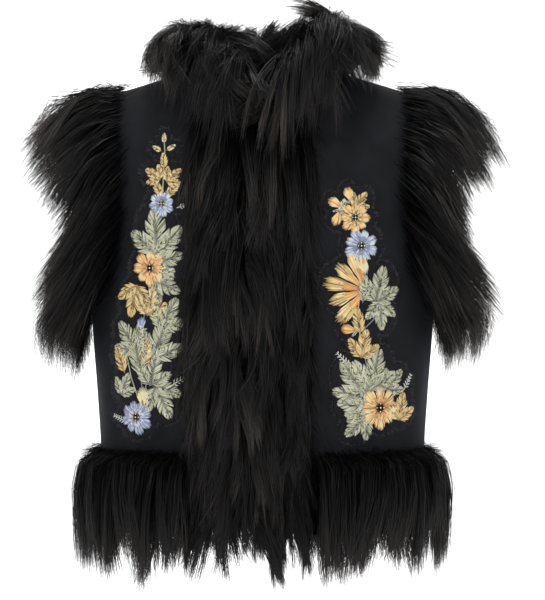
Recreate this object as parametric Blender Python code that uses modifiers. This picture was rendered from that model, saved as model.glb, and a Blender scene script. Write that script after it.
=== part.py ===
# Fur-trimmed vest with an embroidered spray on each front, as worn, with nobody in it.
# Metres, +Z up. The front faces -Y and the wearer's left side is towards +X.
# The origin is midway between the neck ends of the two shoulder seams, where the shoulders carry the vest.

import math
import random
from collections import namedtuple

import bmesh
import bpy
from mathutils import Vector
from mathutils.geometry import delaunay_2d_cdt

# Cloth and seams
CLOTH_THICKNESS = 0.002
SEAM_GAP = 0.0003
LAID_GAP = 0.0008  # between the cloth and what is sewn on it
OPENING_X = 0.012  # the fronts meet edge to edge here, a little past the centre
OPENING_GAP = 0.001

# Neck, shoulders and hem
NECK_HALF_WIDTH = 0.082
FRONT_NECK_DROP = 0.062
BACK_NECK_DROP = 0.014
SHOULDER_SLOPE = 0.30
SHOULDER_ROUNDING = 0.065  # height over which the front turns in to the shoulder seam
UNDERARM_HEIGHT = -0.262
HEM_HEIGHT = -0.522
ROUNDNESS = 2.2  # power of the superellipse that each level of the torso follows

# The girth at each level
Level = namedtuple("Level", "height half_width front_depth back_depth")
TORSO = [
    Level(-0.600, 0.192, 0.114, 0.110),
    Level(-0.530, 0.190, 0.112, 0.108),
    Level(-0.450, 0.189, 0.108, 0.103),
    Level(-0.380, 0.193, 0.112, 0.103),
    Level(-0.300, 0.199, 0.120, 0.108),
    Level(-0.230, 0.201, 0.122, 0.113),
    Level(-0.150, 0.196, 0.110, 0.114),
    Level(-0.100, 0.191, 0.093, 0.105),
    Level(-0.062, 0.187, 0.076, 0.092),
    Level(-0.030, 0.185, 0.064, 0.078),
    Level(0.000, 0.183, 0.056, 0.066),
    Level(0.040, 0.180, 0.050, 0.056),
]

# The armhole's edge, from the underarm up to the shoulder point
Armhole = namedtuple("Armhole", "height front_x back_x")
ARMHOLE = [
    Armhole(-0.262, None, None),
    Armhole(-0.257, 0.195, 0.195),
    Armhole(-0.237, 0.185, 0.187),
    Armhole(-0.206, 0.178, 0.181),
    Armhole(-0.168, 0.175, 0.178),
    Armhole(-0.130, 0.174, 0.177),
    Armhole(-0.092, 0.175, 0.177),
    Armhole(-0.060, 0.177, 0.178),
    Armhole(None, 0.181, 0.181),
]

# Soft folds of the cloth: where each runs, its half width round the body and its depth
Fold = namedtuple("Fold", "heading top bottom spread depth")
FOLDS = [
    Fold(-66, -0.290, -0.462, 9.0, 0.0030),
    Fold(-46, -0.350, -0.462, 8.0, 0.0018),
    Fold(-28, -0.140, -0.300, 10.0, -0.0014),
    Fold(38, -0.330, -0.462, 9.0, 0.0018),
    Fold(64, -0.280, -0.462, 9.0, 0.0030),
    Fold(30, -0.120, -0.270, 10.0, -0.0014),
    Fold(112, -0.280, -0.462, 10.0, 0.0030),
    Fold(140, -0.330, -0.462, 9.0, 0.0022),
    Fold(160, -0.060, -0.240, 12.0, -0.0016),
]

# Fur round the hem, from its top seam down to the tips
HemRow = namedtuple("HemRow", "height inner_lift outer_lift")
HEM_FUR = [
    HemRow(-0.438, 0.0017, 0.008),
    HemRow(-0.441, 0.0017, 0.030),
    HemRow(-0.462, 0.0017, 0.041),
    HemRow(-0.505, 0.0017, 0.038),
    HemRow(-0.540, 0.0030, 0.030),
    HemRow(-0.580, 0.0150, 0.024),
]
HEM_START_X = 0.078  # beside the wearer's right front fur
HEM_END_X = 0.0545  # beside the wearer's left front fur
HEM_TUFTS = 26
HEM_NOTCH = 0.036

# Fur round each armhole, from the shoulder point (0) to the underarm (1). Over and under are how far it swells
# on the side that faces away from the arm and on the side that faces it.
CapRow = namedtuple("CapRow", "station out down forward droop length over under inset")
CAP_FUR = [
    CapRow(0.00, 0.90, 0.35, 0.00, 0.46, 0.110, 0.019, 0.004, 0.004),
    CapRow(0.20, 0.82, 0.44, 0.16, 0.34, 0.108, 0.027, 0.004, 0.005),
    CapRow(0.36, 0.64, 0.68, 0.24, 0.20, 0.104, 0.032, 0.003, 0.006),
    CapRow(0.52, 0.76, 0.66, 0.26, 0.12, 0.138, 0.036, 0.006, 0.006),
    CapRow(0.68, 0.64, 0.72, 0.34, 0.07, 0.136, 0.026, 0.020, 0.006),
    CapRow(0.84, 0.34, 0.84, 0.40, 0.04, 0.106, 0.006, 0.054, 0.005),
    CapRow(1.00, 0.05, 0.99, 0.00, 0.02, 0.098, 0.000, 0.066, 0.004),
]
CAP_TUFTS = 19
CAP_NOTCH = 0.27
CAP_CLEARANCE = 0.003
CAP_PROFILE = ((0.0, 0.24, 0.06), (0.10, 0.66, 0.45), (0.36, 1.0, 1.0), (0.72, 0.72, 0.85), (1.0, 0.24, 0.24))

# Fur collar, from the centre front (0) past the shoulder seam (90) to the centre back (180)
CollarRow = namedtuple("CollarRow", "station top_right top_left reach")
COLLAR_FUR = [
    CollarRow(0, -0.022, -0.016, 0.034),
    CollarRow(20, 0.014, 0.024, 0.044),
    CollarRow(38, 0.045, 0.060, 0.052),
    CollarRow(55, 0.049, 0.061, 0.056),
    CollarRow(72, 0.047, 0.056, 0.056),
    CollarRow(90, 0.046, 0.053, 0.054),
    CollarRow(135, 0.062, 0.070, 0.047),
    CollarRow(180, 0.063, 0.063, 0.044),
]
COLLAR_TUFTS = 17
COLLAR_AXIS_Y = -0.008

# Fur down each front edge: where it lies, measured round the body from the centre front
FrontFur = namedtuple("FrontFur", "name first_x last_x columns thickness seed")
FRONT_FURS = [
    FrontFur("fur_front_right", -0.0765, 0.0210, 13, 0.031, 11),
    FrontFur("fur_front_left", 0.0225, 0.0520, 7, 0.022, 12),
]
FRONT_FUR_TOP = -0.074
FRONT_FUR_TIP = -0.582
FRONT_FUR_ROWS = 20
FRONT_LOCK_LENGTH = 0.058

# Embroidered sprays: across is measured round the cloth from the centre front
NET_THICKNESS = 0.0008
NET_MARGIN = 0.005
STITCH_RELIEF = 0.0016
Motif = namedtuple("Motif", "form across height size tilt")
SPRAYS = {
    "applique_right": (
        -1,
        [
            Motif("bud", 0.112, -0.086, 0.009, 0),
            Motif("bud", 0.104, -0.099, 0.008, 60),
            Motif("bud", 0.119, -0.100, 0.008, -55),
            Motif("bud", 0.112, -0.116, 0.012, 5),
            Motif("leaf", 0.101, -0.131, 0.015, -50),
            Motif("leaf", 0.124, -0.129, 0.015, 55),
            Motif("bud", 0.106, -0.148, 0.013, 40),
            Motif("flower", 0.116, -0.160, 0.016, 10),
            Motif("lobed", 0.121, -0.196, 0.031, 5),
            Motif("lobed", 0.114, -0.224, 0.026, -75),
            Motif("flower", 0.128, -0.233, 0.022, 0),
            Motif("lobed", 0.111, -0.254, 0.024, -115),
            Motif("leaf", 0.149, -0.266, 0.025, 165),
            Motif("leaf", 0.128, -0.272, 0.023, -20),
            Motif("lobed", 0.106, -0.288, 0.024, -30),
            Motif("bud", 0.139, -0.296, 0.010, 0),
            Motif("lobed", 0.156, -0.310, 0.025, 45),
            Motif("lobed", 0.117, -0.318, 0.029, -20),
            Motif("leaf", 0.144, -0.335, 0.030, 8),
            Motif("leaf", 0.167, -0.338, 0.022, 25),
            Motif("lobed", 0.125, -0.348, 0.024, -15),
            Motif("leaf", 0.163, -0.366, 0.019, -25),
            Motif("leaf", 0.113, -0.382, 0.027, -155),
            Motif("bud", 0.137, -0.381, 0.015, 10),
            Motif("flower", 0.146, -0.402, 0.021, 15),
        ],
    ),
    "applique_left": (
        1,
        [
            Motif("bud", 0.081, -0.160, 0.012, -60),
            Motif("bud", 0.083, -0.175, 0.012, 200),
            Motif("bud", 0.090, -0.164, 0.009, 0),
            Motif("bud", 0.097, -0.152, 0.012, -20),
            Motif("leaf", 0.109, -0.157, 0.015, 40),
            Motif("flower", 0.105, -0.176, 0.020, 0),
            Motif("flower", 0.112, -0.208, 0.022, 20),
            Motif("bud", 0.114, -0.230, 0.015, 180),
            Motif("lobed", 0.096, -0.254, 0.031, -80),
            Motif("leaf", 0.115, -0.258, 0.020, 5),
            Motif("lobed", 0.134, -0.256, 0.028, 15),
            Motif("leaf", 0.136, -0.285, 0.021, 175),
            Motif("leaf", 0.109, -0.294, 0.020, -8),
            Motif("bud", 0.097, -0.302, 0.010, -80),
            Motif("leaf", 0.115, -0.323, 0.022, 12),
            Motif("lobed", 0.105, -0.360, 0.030, -35),
            Motif("lobed", 0.128, -0.352, 0.030, 15),
            Motif("leaf", 0.153, -0.361, 0.021, 45),
            Motif("flower", 0.135, -0.391, 0.027, 0),
            Motif("leaf", 0.166, -0.392, 0.023, 12),
            Motif("lobed", 0.100, -0.387, 0.022, -75),
            Motif("lobed", 0.105, -0.412, 0.024, -120),
        ],
    ),
}

BLACK_WOOL = ("black wool", (0.012, 0.012, 0.014), 0.85)
BLACK_FUR = ("black fur", (0.010, 0.010, 0.010), 0.55)
EMBROIDERY = ("embroidered net", (0.48, 0.45, 0.28), 0.60)


def smooth_value(keys, values, at):
    """A smooth curve through a table's values, held flat past its ends."""
    if at <= keys[0]:
        return values[0]
    if at >= keys[-1]:
        return values[-1]
    k = next(i for i in range(len(keys) - 1) if keys[i + 1] >= at)

    def slope(i):
        low, high = max(0, i - 1), min(len(keys) - 1, i + 1)
        return (values[high] - values[low]) / (keys[high] - keys[low])

    span = keys[k + 1] - keys[k]
    t = (at - keys[k]) / span
    ends = (2 * t**3 - 3 * t**2 + 1) * values[k] + (3 * t**2 - 2 * t**3) * values[k + 1]
    return ends + span * ((t**3 - 2 * t**2 + t) * slope(k) + (t**3 - t**2) * slope(k + 1))


def from_rows(rows, column, at):
    """A column of a table at a place between its rows. The first column says where each row is."""
    return smooth_value([r[0] for r in rows], [getattr(r, column) for r in rows], at)


def signed_power(value, power):
    return math.copysign(abs(value) ** power, value)


def shoulder_height(x):
    return (NECK_HALF_WIDTH - abs(x)) * SHOULDER_SLOPE


def shoulder_climb(x):
    """How far up the cloth the shoulder seam lies, measured over the rounding."""
    return shoulder_height(x) + SHOULDER_ROUNDING * (math.pi / 2 - 1)


def fold_lift(heading, climb):
    """How far the folds push the cloth in or out at a place."""
    lift = 0.0
    around = (math.degrees(heading) + 180) % 360 - 180
    for f in FOLDS:
        aside = (around - f.heading + 180) % 360 - 180
        if abs(aside) > 3 * f.spread or not f.bottom < climb < f.top:
            continue
        fade = math.sin(math.pi * (climb - f.bottom) / (f.top - f.bottom))
        lift += f.depth * fade * math.exp(-((aside / f.spread) ** 2))
    return lift


def cloth_at(heading, climb, lift=0.0):
    """A point of the cloth's outer face, moved out by lift. Heading turns from the centre front (0) past the
    wearer's left side seam (90 degrees) to the back, and climb is the height, measured over the shoulder."""
    power = 2 / ROUNDNESS
    column = "front_depth" if math.cos(heading) > 0 else "back_depth"
    out = lift + fold_lift(heading, climb)
    height, fade = climb, 1.0
    for _ in range(5):
        x = (from_rows(TORSO, "half_width", height) + out) * signed_power(math.sin(heading), power)
        bend_start = shoulder_height(x) - SHOULDER_ROUNDING
        over = min(math.pi / 2, (climb - bend_start) / SHOULDER_ROUNDING)
        if over > 0:
            height = bend_start + (SHOULDER_ROUNDING + out) * math.sin(over)
            fade = math.cos(over)
    depth = (from_rows(TORSO, column, height) + out) * signed_power(math.cos(heading), power)
    return Vector((x, -depth * fade - math.copysign(SEAM_GAP / 2, math.cos(heading)), height))


def heading_of(x, height, back=False):
    """The heading of a point of the cloth at this x and height."""
    share = max(-1.0, min(1.0, x / from_rows(TORSO, "half_width", height)))
    heading = math.asin(signed_power(share, ROUNDNESS / 2))
    return math.pi - heading if back else heading


def climb_of(x, height):
    bend_start = shoulder_height(x) - SHOULDER_ROUNDING
    if height <= bend_start:
        return height
    return bend_start + SHOULDER_ROUNDING * math.asin(min(1.0, (height - bend_start) / SHOULDER_ROUNDING))


def outward(heading, climb):
    """The cloth's outward direction."""
    step = 0.0005
    round_body = cloth_at(heading + step, climb) - cloth_at(heading - step, climb)
    up_cloth = cloth_at(heading, climb) - cloth_at(heading, climb - step)
    return round_body.cross(up_cloth).normalized()


def finish(mesh_name, bm, material_of):
    """Makes a named object of a bmesh, with its material."""
    name, colour, roughness = material_of
    bmesh.ops.recalc_face_normals(bm, faces=bm.faces)
    mesh = bpy.data.meshes.new(mesh_name)
    bm.to_mesh(mesh)
    bm.free()
    material = bpy.data.materials.get(name) or bpy.data.materials.new(name)
    material.use_nodes = True
    shader = material.node_tree.nodes["Principled BSDF"]
    shader.inputs["Base Color"].default_value = (*colour, 1)
    shader.inputs["Roughness"].default_value = roughness
    shader.inputs["Metallic"].default_value = 0.0
    mesh.materials.append(material)
    mesh.shade_smooth()
    mesh.set_sharp_from_angle(angle=math.radians(50))
    body = bpy.data.objects.new(mesh_name, mesh)
    bpy.data.collections["vest"].objects.link(body)
    return body


def loft(name, loops, material_of, closed=False):
    """A solid through loops of equal length. Each loop runs along one face and back along the other, so that
    the ends are closed by joining opposite points."""
    bm = bmesh.new()
    rings = [[bm.verts.new(p) for p in loop] for loop in loops]
    size = len(loops[0])
    pairs = list(zip(rings, rings[1:]))
    if closed:
        pairs.append((rings[-1], rings[0]))
    for low, high in pairs:
        for k in range(size):
            n = (k + 1) % size
            bm.faces.new((low[k], low[n], high[n], high[k]))
    for ring in () if closed else (rings[0], rings[-1]):
        for k in range(size // 2 - 1):
            bm.faces.new((ring[k], ring[k + 1], ring[size - 2 - k], ring[size - 1 - k]))
    return finish(name, bm, material_of)


def wall(name, rows, material_of, open_rows=0):
    """A cloth wall through rows of places (heading, climb). The first open_rows rows are left open at their
    first place, where a mirrored half joins."""
    bm = bmesh.new()
    faces = [
        [[bm.verts.new(cloth_at(h, c, lift)) for h, c in row] for row in rows]
        for lift in (0.0, -CLOTH_THICKNESS)
    ]
    last_row, last_place = len(rows) - 1, len(rows[0]) - 1
    for grid in faces:
        for r in range(last_row):
            for c in range(last_place):
                bm.faces.new((grid[r][c], grid[r][c + 1], grid[r + 1][c + 1], grid[r + 1][c]))
    outer, inner = faces
    for r in (0, last_row):
        for c in range(last_place):
            bm.faces.new((outer[r][c], outer[r][c + 1], inner[r][c + 1], inner[r][c]))
    for r in range(last_row):
        bm.faces.new((outer[r][-1], outer[r + 1][-1], inner[r + 1][-1], inner[r][-1]))
        if r >= open_rows:
            bm.faces.new((outer[r][0], outer[r + 1][0], inner[r + 1][0], inner[r][0]))
    return finish(name, bm, material_of)


def neck_place(across, drop, back=False):
    """The place of the neckline this far from the centre, in the wearer's left half."""
    height = -drop * math.sqrt(max(0.0, 1 - (across / NECK_HALF_WIDTH) ** 2))
    if across >= NECK_HALF_WIDTH - 1e-6:
        return heading_of(NECK_HALF_WIDTH, 0.0, back), shoulder_climb(NECK_HALF_WIDTH)
    return heading_of(across, height, back), climb_of(across, height)


def armhole_place(share, back=False):
    """The place on the armhole's edge, from the underarm (0) to the shoulder point (1), in the left half."""
    places = []
    for row in ARMHOLE:
        x = row.back_x if back else row.front_x
        if x is None:
            places.append((math.pi / 2, row.height))
        elif row.height is None:
            places.append((heading_of(x, shoulder_height(x), back), shoulder_climb(x)))
        else:
            places.append((heading_of(x, row.height, back), climb_of(x, row.height)))
    keys = [i / (len(places) - 1) for i in range(len(places))]
    return tuple(smooth_value(keys, [p[axis] for p in places], share) for axis in (0, 1))


def lerp(a, b, t):
    return a + (b - a) * t


UNDERARM_ROWS, CHEST_ROWS, NECK_ROWS = 11, 8, 5
ARMHOLE_AT_NECK = 0.62  # the row from the neck's lowest point meets the armhole here


def half_panel_rows(centre_across, neck_drop, columns, back=False):
    """Rows of places for one half of the front or back, from the hem to the shoulder seam, each running from
    the centre to the side."""
    rows = []
    neck_angle = math.asin(centre_across / NECK_HALF_WIDTH)
    neck_climb = neck_place(centre_across, neck_drop, back)[1]
    levels = UNDERARM_ROWS + CHEST_ROWS + NECK_ROWS
    for level in range(levels + 1):
        over_neck = max(0.0, (level - UNDERARM_ROWS - CHEST_ROWS) / NECK_ROWS)
        if level <= UNDERARM_ROWS:
            climb = lerp(HEM_HEIGHT, UNDERARM_HEIGHT, level / UNDERARM_ROWS)
            centre = (heading_of(centre_across, climb, back), climb)
            side = (math.pi / 2, climb)
        elif not over_neck:
            t = (level - UNDERARM_ROWS) / CHEST_ROWS
            climb = lerp(UNDERARM_HEIGHT, neck_climb, t)
            centre = (heading_of(centre_across, climb, back), climb)
            side = armhole_place(ARMHOLE_AT_NECK * t, back)
        else:
            angle = lerp(neck_angle, math.pi / 2, over_neck)
            centre = neck_place(NECK_HALF_WIDTH * math.sin(angle), neck_drop, back)
            side = armhole_place(lerp(ARMHOLE_AT_NECK, 1.0, over_neck), back)
        row = []
        for c in range(columns + 1):
            heading = lerp(centre[0], side[0], c / columns)
            climb = lerp(centre[1], side[1], c / columns)
            if over_neck:  # measured down from the shoulder seam, so that the last row lies on it
                ends = [shoulder_climb(cloth_at(*end).x) - end[1] for end in (centre, side)]
                below = max(0.0, lerp(ends[0], ends[1], c / columns))
                from_seam = shoulder_climb(cloth_at(heading, climb).x) - below
                climb = lerp(climb, from_seam, over_neck)
            row.append((heading, climb))
        rows.append(row)
    return rows


def front_panels():
    for name, side in (("front_right", -1), ("front_left", 1)):
        edge = side * OPENING_X + OPENING_GAP / 2
        rows = half_panel_rows(edge, FRONT_NECK_DROP, 8)
        wall(name, [[(side * h, c) for h, c in row] for row in rows], BLACK_WOOL)


def back_panel():
    rows = half_panel_rows(0.0, BACK_NECK_DROP, 8, back=True)
    body = wall("back", rows, BLACK_WOOL, open_rows=UNDERARM_ROWS + CHEST_ROWS)
    mirror = body.modifiers.new("left half", "MIRROR")
    mirror.use_mirror_merge = True
    mirror.merge_threshold = 0.0001


def evenly(points, count):
    """Shares of a polyline's point numbers at equal steps along its length."""
    lengths = [0.0]
    for a, b in zip(points, points[1:]):
        lengths.append(lengths[-1] + (b - a).length)
    shares, k = [], 0
    for i in range(count):
        want = lengths[-1] * i / (count - 1)
        while k < len(lengths) - 2 and lengths[k + 1] < want:
            k += 1
        shares.append(k + (want - lengths[k]) / max(1e-9, lengths[k + 1] - lengths[k]))
    return shares


SECTIONS_A_TUFT = 4
NOTCH_SHAPE = (1.0, 0.35, 0.0, 0.35)  # how much of the notch each section of a tuft has
TIP_GATHER = 0.45  # how far a lock's sides draw in to its tip


def gather_tips(loops, tip_points, before_tip):
    """Draws the sections of each tuft together at the tip, so that locks end in points."""
    for middle in range(2, len(loops) - 1, SECTIONS_A_TUFT):
        for beside in (middle - 1, middle + 1):
            for k in tip_points:
                loops[beside][k] = loops[beside][k].lerp(loops[middle][k], TIP_GATHER)
            for k in before_tip:
                loops[beside][k] = loops[beside][k].lerp(loops[middle][k], TIP_GATHER / 3)


def hem_fur():
    """One band of long fur round the hem, from one front's fur round the back to the other's."""
    rng = random.Random(7)
    first = heading_of(-HEM_START_X, HEM_HEIGHT)
    last = heading_of(HEM_END_X, HEM_HEIGHT) - 2 * math.pi
    fine = [lerp(first, last, i / 360) for i in range(361)]
    sections = HEM_TUFTS * SECTIONS_A_TUFT + 1
    shares = evenly([cloth_at(h, HEM_HEIGHT, 0.03) for h in fine], sections)
    loops = []
    for i, share in enumerate(shares):
        heading = lerp(first, last, share / 360)
        if i % SECTIONS_A_TUFT == 0:
            tuft_length = rng.uniform(-0.010, 0.008)
            tuft_swell = rng.uniform(0.92, 1.05)
        notch = NOTCH_SHAPE[i % SECTIONS_A_TUFT]
        inner, outer = [], []
        for k, row in enumerate(HEM_FUR):
            lowness = max(0.0, (k - 3) / 2)
            height = row.height + lowness**2 * (HEM_NOTCH * notch - tuft_length)
            swell = tuft_swell * (1.05 - 0.15 * notch) if k else 1.0
            inner.append(cloth_at(heading, height, row.inner_lift))
            outer.append(cloth_at(heading, height, row.outer_lift * swell))
        loops.append(outer + inner[::-1])
    rows = len(HEM_FUR)
    gather_tips(loops, (rows - 1, rows), (rows - 2, rows + 1))
    loft("fur_hem", loops, BLACK_FUR)


def step_on_cloth(heading, climb, move):
    """The place reached from here by a small move, kept on the cloth."""
    target = cloth_at(heading, climb) + move
    step = 0.0004
    for _ in range(4):
        here = cloth_at(heading, climb)
        turn = (cloth_at(heading + step, climb) - cloth_at(heading - step, climb)) / (2 * step)
        rise = (here - cloth_at(heading, climb - step)) / step
        miss = target - here
        tt, tr, rr = turn.dot(turn), turn.dot(rise), rise.dot(rise)
        det = max(1e-12, tt * rr - tr * tr)
        heading += (miss.dot(turn) * rr - miss.dot(rise) * tr) / det
        climb += (miss.dot(rise) * tt - miss.dot(turn) * tr) / det
    return heading, climb


def cap_place(share):
    """Station, whether on the back, and place for a share round the armhole, from the shoulder point down the
    front and up the back."""
    share %= 1.0
    station = 2 * share if share <= 0.5 else 2 * (1 - share)
    return station, share > 0.5, armhole_place(1 - station, share > 0.5)


def cap_frame(share):
    """Station, whether on the back, place, outward direction, direction past the edge and direction along it."""
    station, back, place = cap_place(share)
    along = cloth_at(*cap_place(share + 0.004)[2]) - cloth_at(*cap_place(share - 0.004)[2])
    face_out = outward(place[0], place[1] - (0.0004 if station < 0.02 else 0))
    return station, back, place, face_out, face_out.cross(along).normalized(), along.normalized()


def cap_fur(name, side, seed):
    """Fur sewn round an armhole, a closed ring of locks that stand out over the arm and fall."""
    rng = random.Random(seed)
    fine = [cloth_at(*cap_place(i / 240)[2]) for i in range(241)]
    sections = CAP_TUFTS * SECTIONS_A_TUFT
    shares = [s / 240 for s in evenly(fine, sections + 1)[:-1]]
    loops = []
    for i, share in enumerate(shares):
        station, back, place, face_out, past_edge, along = cap_frame(share)
        value = {c: from_rows(CAP_FUR, c, station) for c in CapRow._fields[1:]}
        if i % SECTIONS_A_TUFT == 0:
            tuft_length = rng.uniform(0.90, 1.10)
            tuft_swell = rng.uniform(0.90, 1.06)
        notch = NOTCH_SHAPE[i % SECTIONS_A_TUFT]
        forward = value["forward"] if back else -value["forward"]
        hair = Vector((value["out"], forward, -value["down"])).normalized()
        hair = (hair + face_out * max(0.0, 0.12 - hair.dot(face_out))).normalized()
        length = value["length"] * tuft_length * (1 - CAP_NOTCH * notch)
        swell = tuft_swell * (1.05 - 0.16 * notch)
        root = cloth_at(*step_on_cloth(*place, -past_edge * value["inset"]), LAID_GAP)
        inner, outer = [], []
        for u, over, under in CAP_PROFILE:
            run = u * length
            at = root + hair * run + face_out * CAP_CLEARANCE * min(1.0, 10 * u)
            at.z -= value["droop"] * run * u
            flow = (hair + Vector((0, 0, -2 * value["droop"] * u))).normalized()
            lift = along.cross(flow).normalized()
            for line, offset in ((inner, -under * value["under"]), (outer, over * value["over"])):
                swelling = lift * offset * swell
                into_cloth = min(0.0, swelling.dot(face_out)) if u < 0.2 else 0.0
                line.append(at + swelling - face_out * into_cloth)
        loops.append([Vector((side * p.x, p.y, p.z)) for p in outer + inner[::-1]])
    last = len(CAP_PROFILE)
    gather_tips(loops, (last - 1, last), (last - 2, last + 1))
    loft(name, loops, BLACK_FUR, closed=True)


def cloth_height_under(x, y):
    """The height of the cloth at this point of the plan, near the neck."""
    back = y > 0
    low, high = -0.30, shoulder_height(x)
    for _ in range(30):
        middle = (low + high) / 2
        point = cloth_at(heading_of(x, middle, back), climb_of(x, middle))
        low, high = (middle, high) if abs(point.y) > abs(y) else (low, middle)
    return low


def collar_path():
    """Points of the neckline from the right front's edge round the back to the left front's, each with its
    station and side."""
    found = []
    first = -math.degrees(math.asin((OPENING_X - OPENING_GAP) / NECK_HALF_WIDTH))
    last = math.degrees(math.asin((OPENING_X + OPENING_GAP) / NECK_HALF_WIDTH))
    for i in range(241):
        angle = lerp(first, 360 - last, i / 240)
        station = 180 - abs(180 - angle)
        side = -1 if angle < 180 else 1
        across = NECK_HALF_WIDTH * math.sin(math.radians(station))
        back = station > 90
        drop = BACK_NECK_DROP if back else FRONT_NECK_DROP
        heading, climb = neck_place(abs(across), drop, back)
        point = cloth_at(heading, climb)
        point.x = math.copysign(point.x, across) * side
        found.append((point, max(0.0, station), side))
    return found


def collar():
    """A standing fur collar: a thick roll on the neckline, higher at its front corners, open in a V."""
    rng = random.Random(21)
    path = collar_path()
    sections = COLLAR_TUFTS * SECTIONS_A_TUFT + 1
    shares = evenly([p for p, _, _ in path], sections)
    loops = []
    for i, share in enumerate(shares):
        k = min(len(path) - 2, int(share))
        seam = path[k][0].lerp(path[k + 1][0], share - k)
        station = lerp(path[k][1], path[k + 1][1], share - k)
        top = from_rows(COLLAR_FUR, "top_right" if path[k][2] < 0 else "top_left", station)
        if i % SECTIONS_A_TUFT == 0:
            tuft_swell = rng.uniform(0.90, 1.07)
            tuft_rise = rng.uniform(-0.003, 0.005)
        notch = NOTCH_SHAPE[i % SECTIONS_A_TUFT]
        reach = from_rows(COLLAR_FUR, "reach", station) * tuft_swell * (1.04 - 0.14 * notch)
        rise = top + tuft_rise - 0.005 * notch - seam.z
        away = Vector((seam.x, seam.y - COLLAR_AXIS_Y, 0)).normalized()

        def spot(out, up, away=away, seam=seam):
            return seam + away * out + Vector((0, 0, up))

        def under(out, clear, away=away, seam=seam):
            at = seam + away * out
            return Vector((at.x, at.y, max(seam.z - 0.014, cloth_height_under(at.x, at.y)) + clear))

        outer = [
            spot(0.006, rise * 0.97),
            spot(reach * 0.48, rise),
            spot(reach * 0.86, rise * 0.80),
            spot(reach, rise * 0.48),
            spot(reach * 0.97, rise * 0.16 + 0.006 * notch),
            under(reach * 0.80, 0.0040 + 0.006 * notch),
        ]
        inner = [
            spot(-0.003, rise * 0.80),
            spot(-0.007, rise * 0.45),
            spot(-0.004, rise * 0.14),
            spot(-0.0012, 0.0026),
            under(0.009, 0.0036),
            under(reach * 0.42, 0.0040),
        ]
        loops.append(outer + inner[::-1])
    loft("fur_collar", loops, BLACK_FUR)


def front_fur(spec):
    """Fur down one front edge: layered locks that fall over each other and end in points below the hem."""
    rng = random.Random(spec.seed)
    phases = [rng.uniform(0, 1) for _ in range(spec.columns)]
    tips = [rng.uniform(-0.004, 0.010) for _ in range(spec.columns)]
    loops = []
    for c in range(spec.columns):
        x = lerp(spec.first_x, spec.last_x, c / (spec.columns - 1))
        edge = 1 - abs(2 * c / (spec.columns - 1) - 1) ** 2.6
        notch = NOTCH_SHAPE[c % SECTIONS_A_TUFT]
        tip = FRONT_FUR_TIP + 0.034 * notch + tips[c - c % SECTIONS_A_TUFT]
        inner, outer = [], []
        for r in range(FRONT_FUR_ROWS):
            down = r / (FRONT_FUR_ROWS - 1)
            height = lerp(FRONT_FUR_TOP, tip, down)
            lock = (down * (FRONT_FUR_TOP - FRONT_FUR_TIP) / FRONT_LOCK_LENGTH + phases[c]) % 1.0
            crown = min(1.0, 0.25 + 2.6 * down**0.8) * min(1.0, 0.30 + 3.2 * (1 - down))
            thick = spec.thickness * (0.20 + 0.80 * edge) * crown * (0.84 + 0.26 * lock)
            heading = heading_of(x, height)
            clear = 0.001 if height > HEM_HEIGHT - 0.004 else 0.004 + 0.006 * down
            inner.append(cloth_at(heading, height, clear))
            outer.append(cloth_at(heading, height - 0.004 * lock, clear + max(0.004, thick)))
        loops.append(outer + inner[::-1])
    loft(spec.name, loops, BLACK_FUR)


def outline(form, size):
    """An embroidered motif's outline, centred on its middle."""
    points = {"flower": 12, "lobed": 12, "leaf": 8, "bud": 6}[form]
    found = []
    for i in range(points):
        angle = 2 * math.pi * i / points
        if form == "flower":  # six petals
            radius = 0.84 + 0.16 * math.cos(6 * angle)
        elif form == "lobed":  # three pointed lobes
            radius = 0.62 + 0.38 * abs(math.cos(1.5 * angle)) ** 1.6
        elif form == "leaf":
            radius = 1 / math.sqrt(math.cos(angle) ** 2 + (math.sin(angle) / 0.48) ** 2)
        else:
            radius = 1 / math.sqrt(math.cos(angle) ** 2 + (math.sin(angle) / 0.74) ** 2)
        found.append((size * radius * math.cos(angle), size * radius * math.sin(angle)))
    return found


def placed(motif, points):
    """A motif's points turned and moved to its place on the flat net: its tip points up at tilt 0."""
    tilt = math.radians(90 - motif.tilt)
    found = []
    for a, b in points:
        across = motif.across + a * math.cos(tilt) - b * math.sin(tilt)
        found.append(Vector((across, motif.height + a * math.sin(tilt) + b * math.cos(tilt))))
    return found


ARC_STEPS = 45
arc_tables = {}


def heading_at_arc(arc, height):
    """The heading that lies this far round the cloth from the centre front."""
    key = round(height, 3)
    if key not in arc_tables:
        points = [cloth_at(math.pi / 2 * i / ARC_STEPS, key) for i in range(ARC_STEPS + 1)]
        lengths = [0.0]
        for a, b in zip(points, points[1:]):
            lengths.append(lengths[-1] + (b - a).length)
        arc_tables[key] = lengths
    lengths = arc_tables[key]
    k = next((i for i in range(ARC_STEPS) if lengths[i + 1] >= arc), ARC_STEPS - 1)
    share = (arc - lengths[k]) / (lengths[k + 1] - lengths[k])
    return math.pi / 2 * (k + share) / ARC_STEPS


def relief_at(point, motifs):
    """How far the stitching stands above the net at a point of the flat net."""
    best = 0.0
    for motif, shape in motifs:
        offset = point - Vector((motif.across, motif.height))
        if offset.length > motif.size * 1.05:
            continue
        ring = [p - Vector((motif.across, motif.height)) for p in shape]
        crossings, nearest = 0, 1.0
        for a, b in zip(ring, ring[1:] + ring[:1]):
            if (a.y > offset.y) != (b.y > offset.y):
                if offset.x < a.x + (offset.y - a.y) * (b.x - a.x) / (b.y - a.y):
                    crossings += 1
            edge = b - a
            t = max(0.0, min(1.0, (offset - a).dot(edge) / edge.length_squared))
            nearest = min(nearest, (a + edge * t - offset).length)
        if crossings % 2:
            best = max(best, STITCH_RELIEF * min(1.0, 0.25 + nearest / 0.004))
    return best


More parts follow.
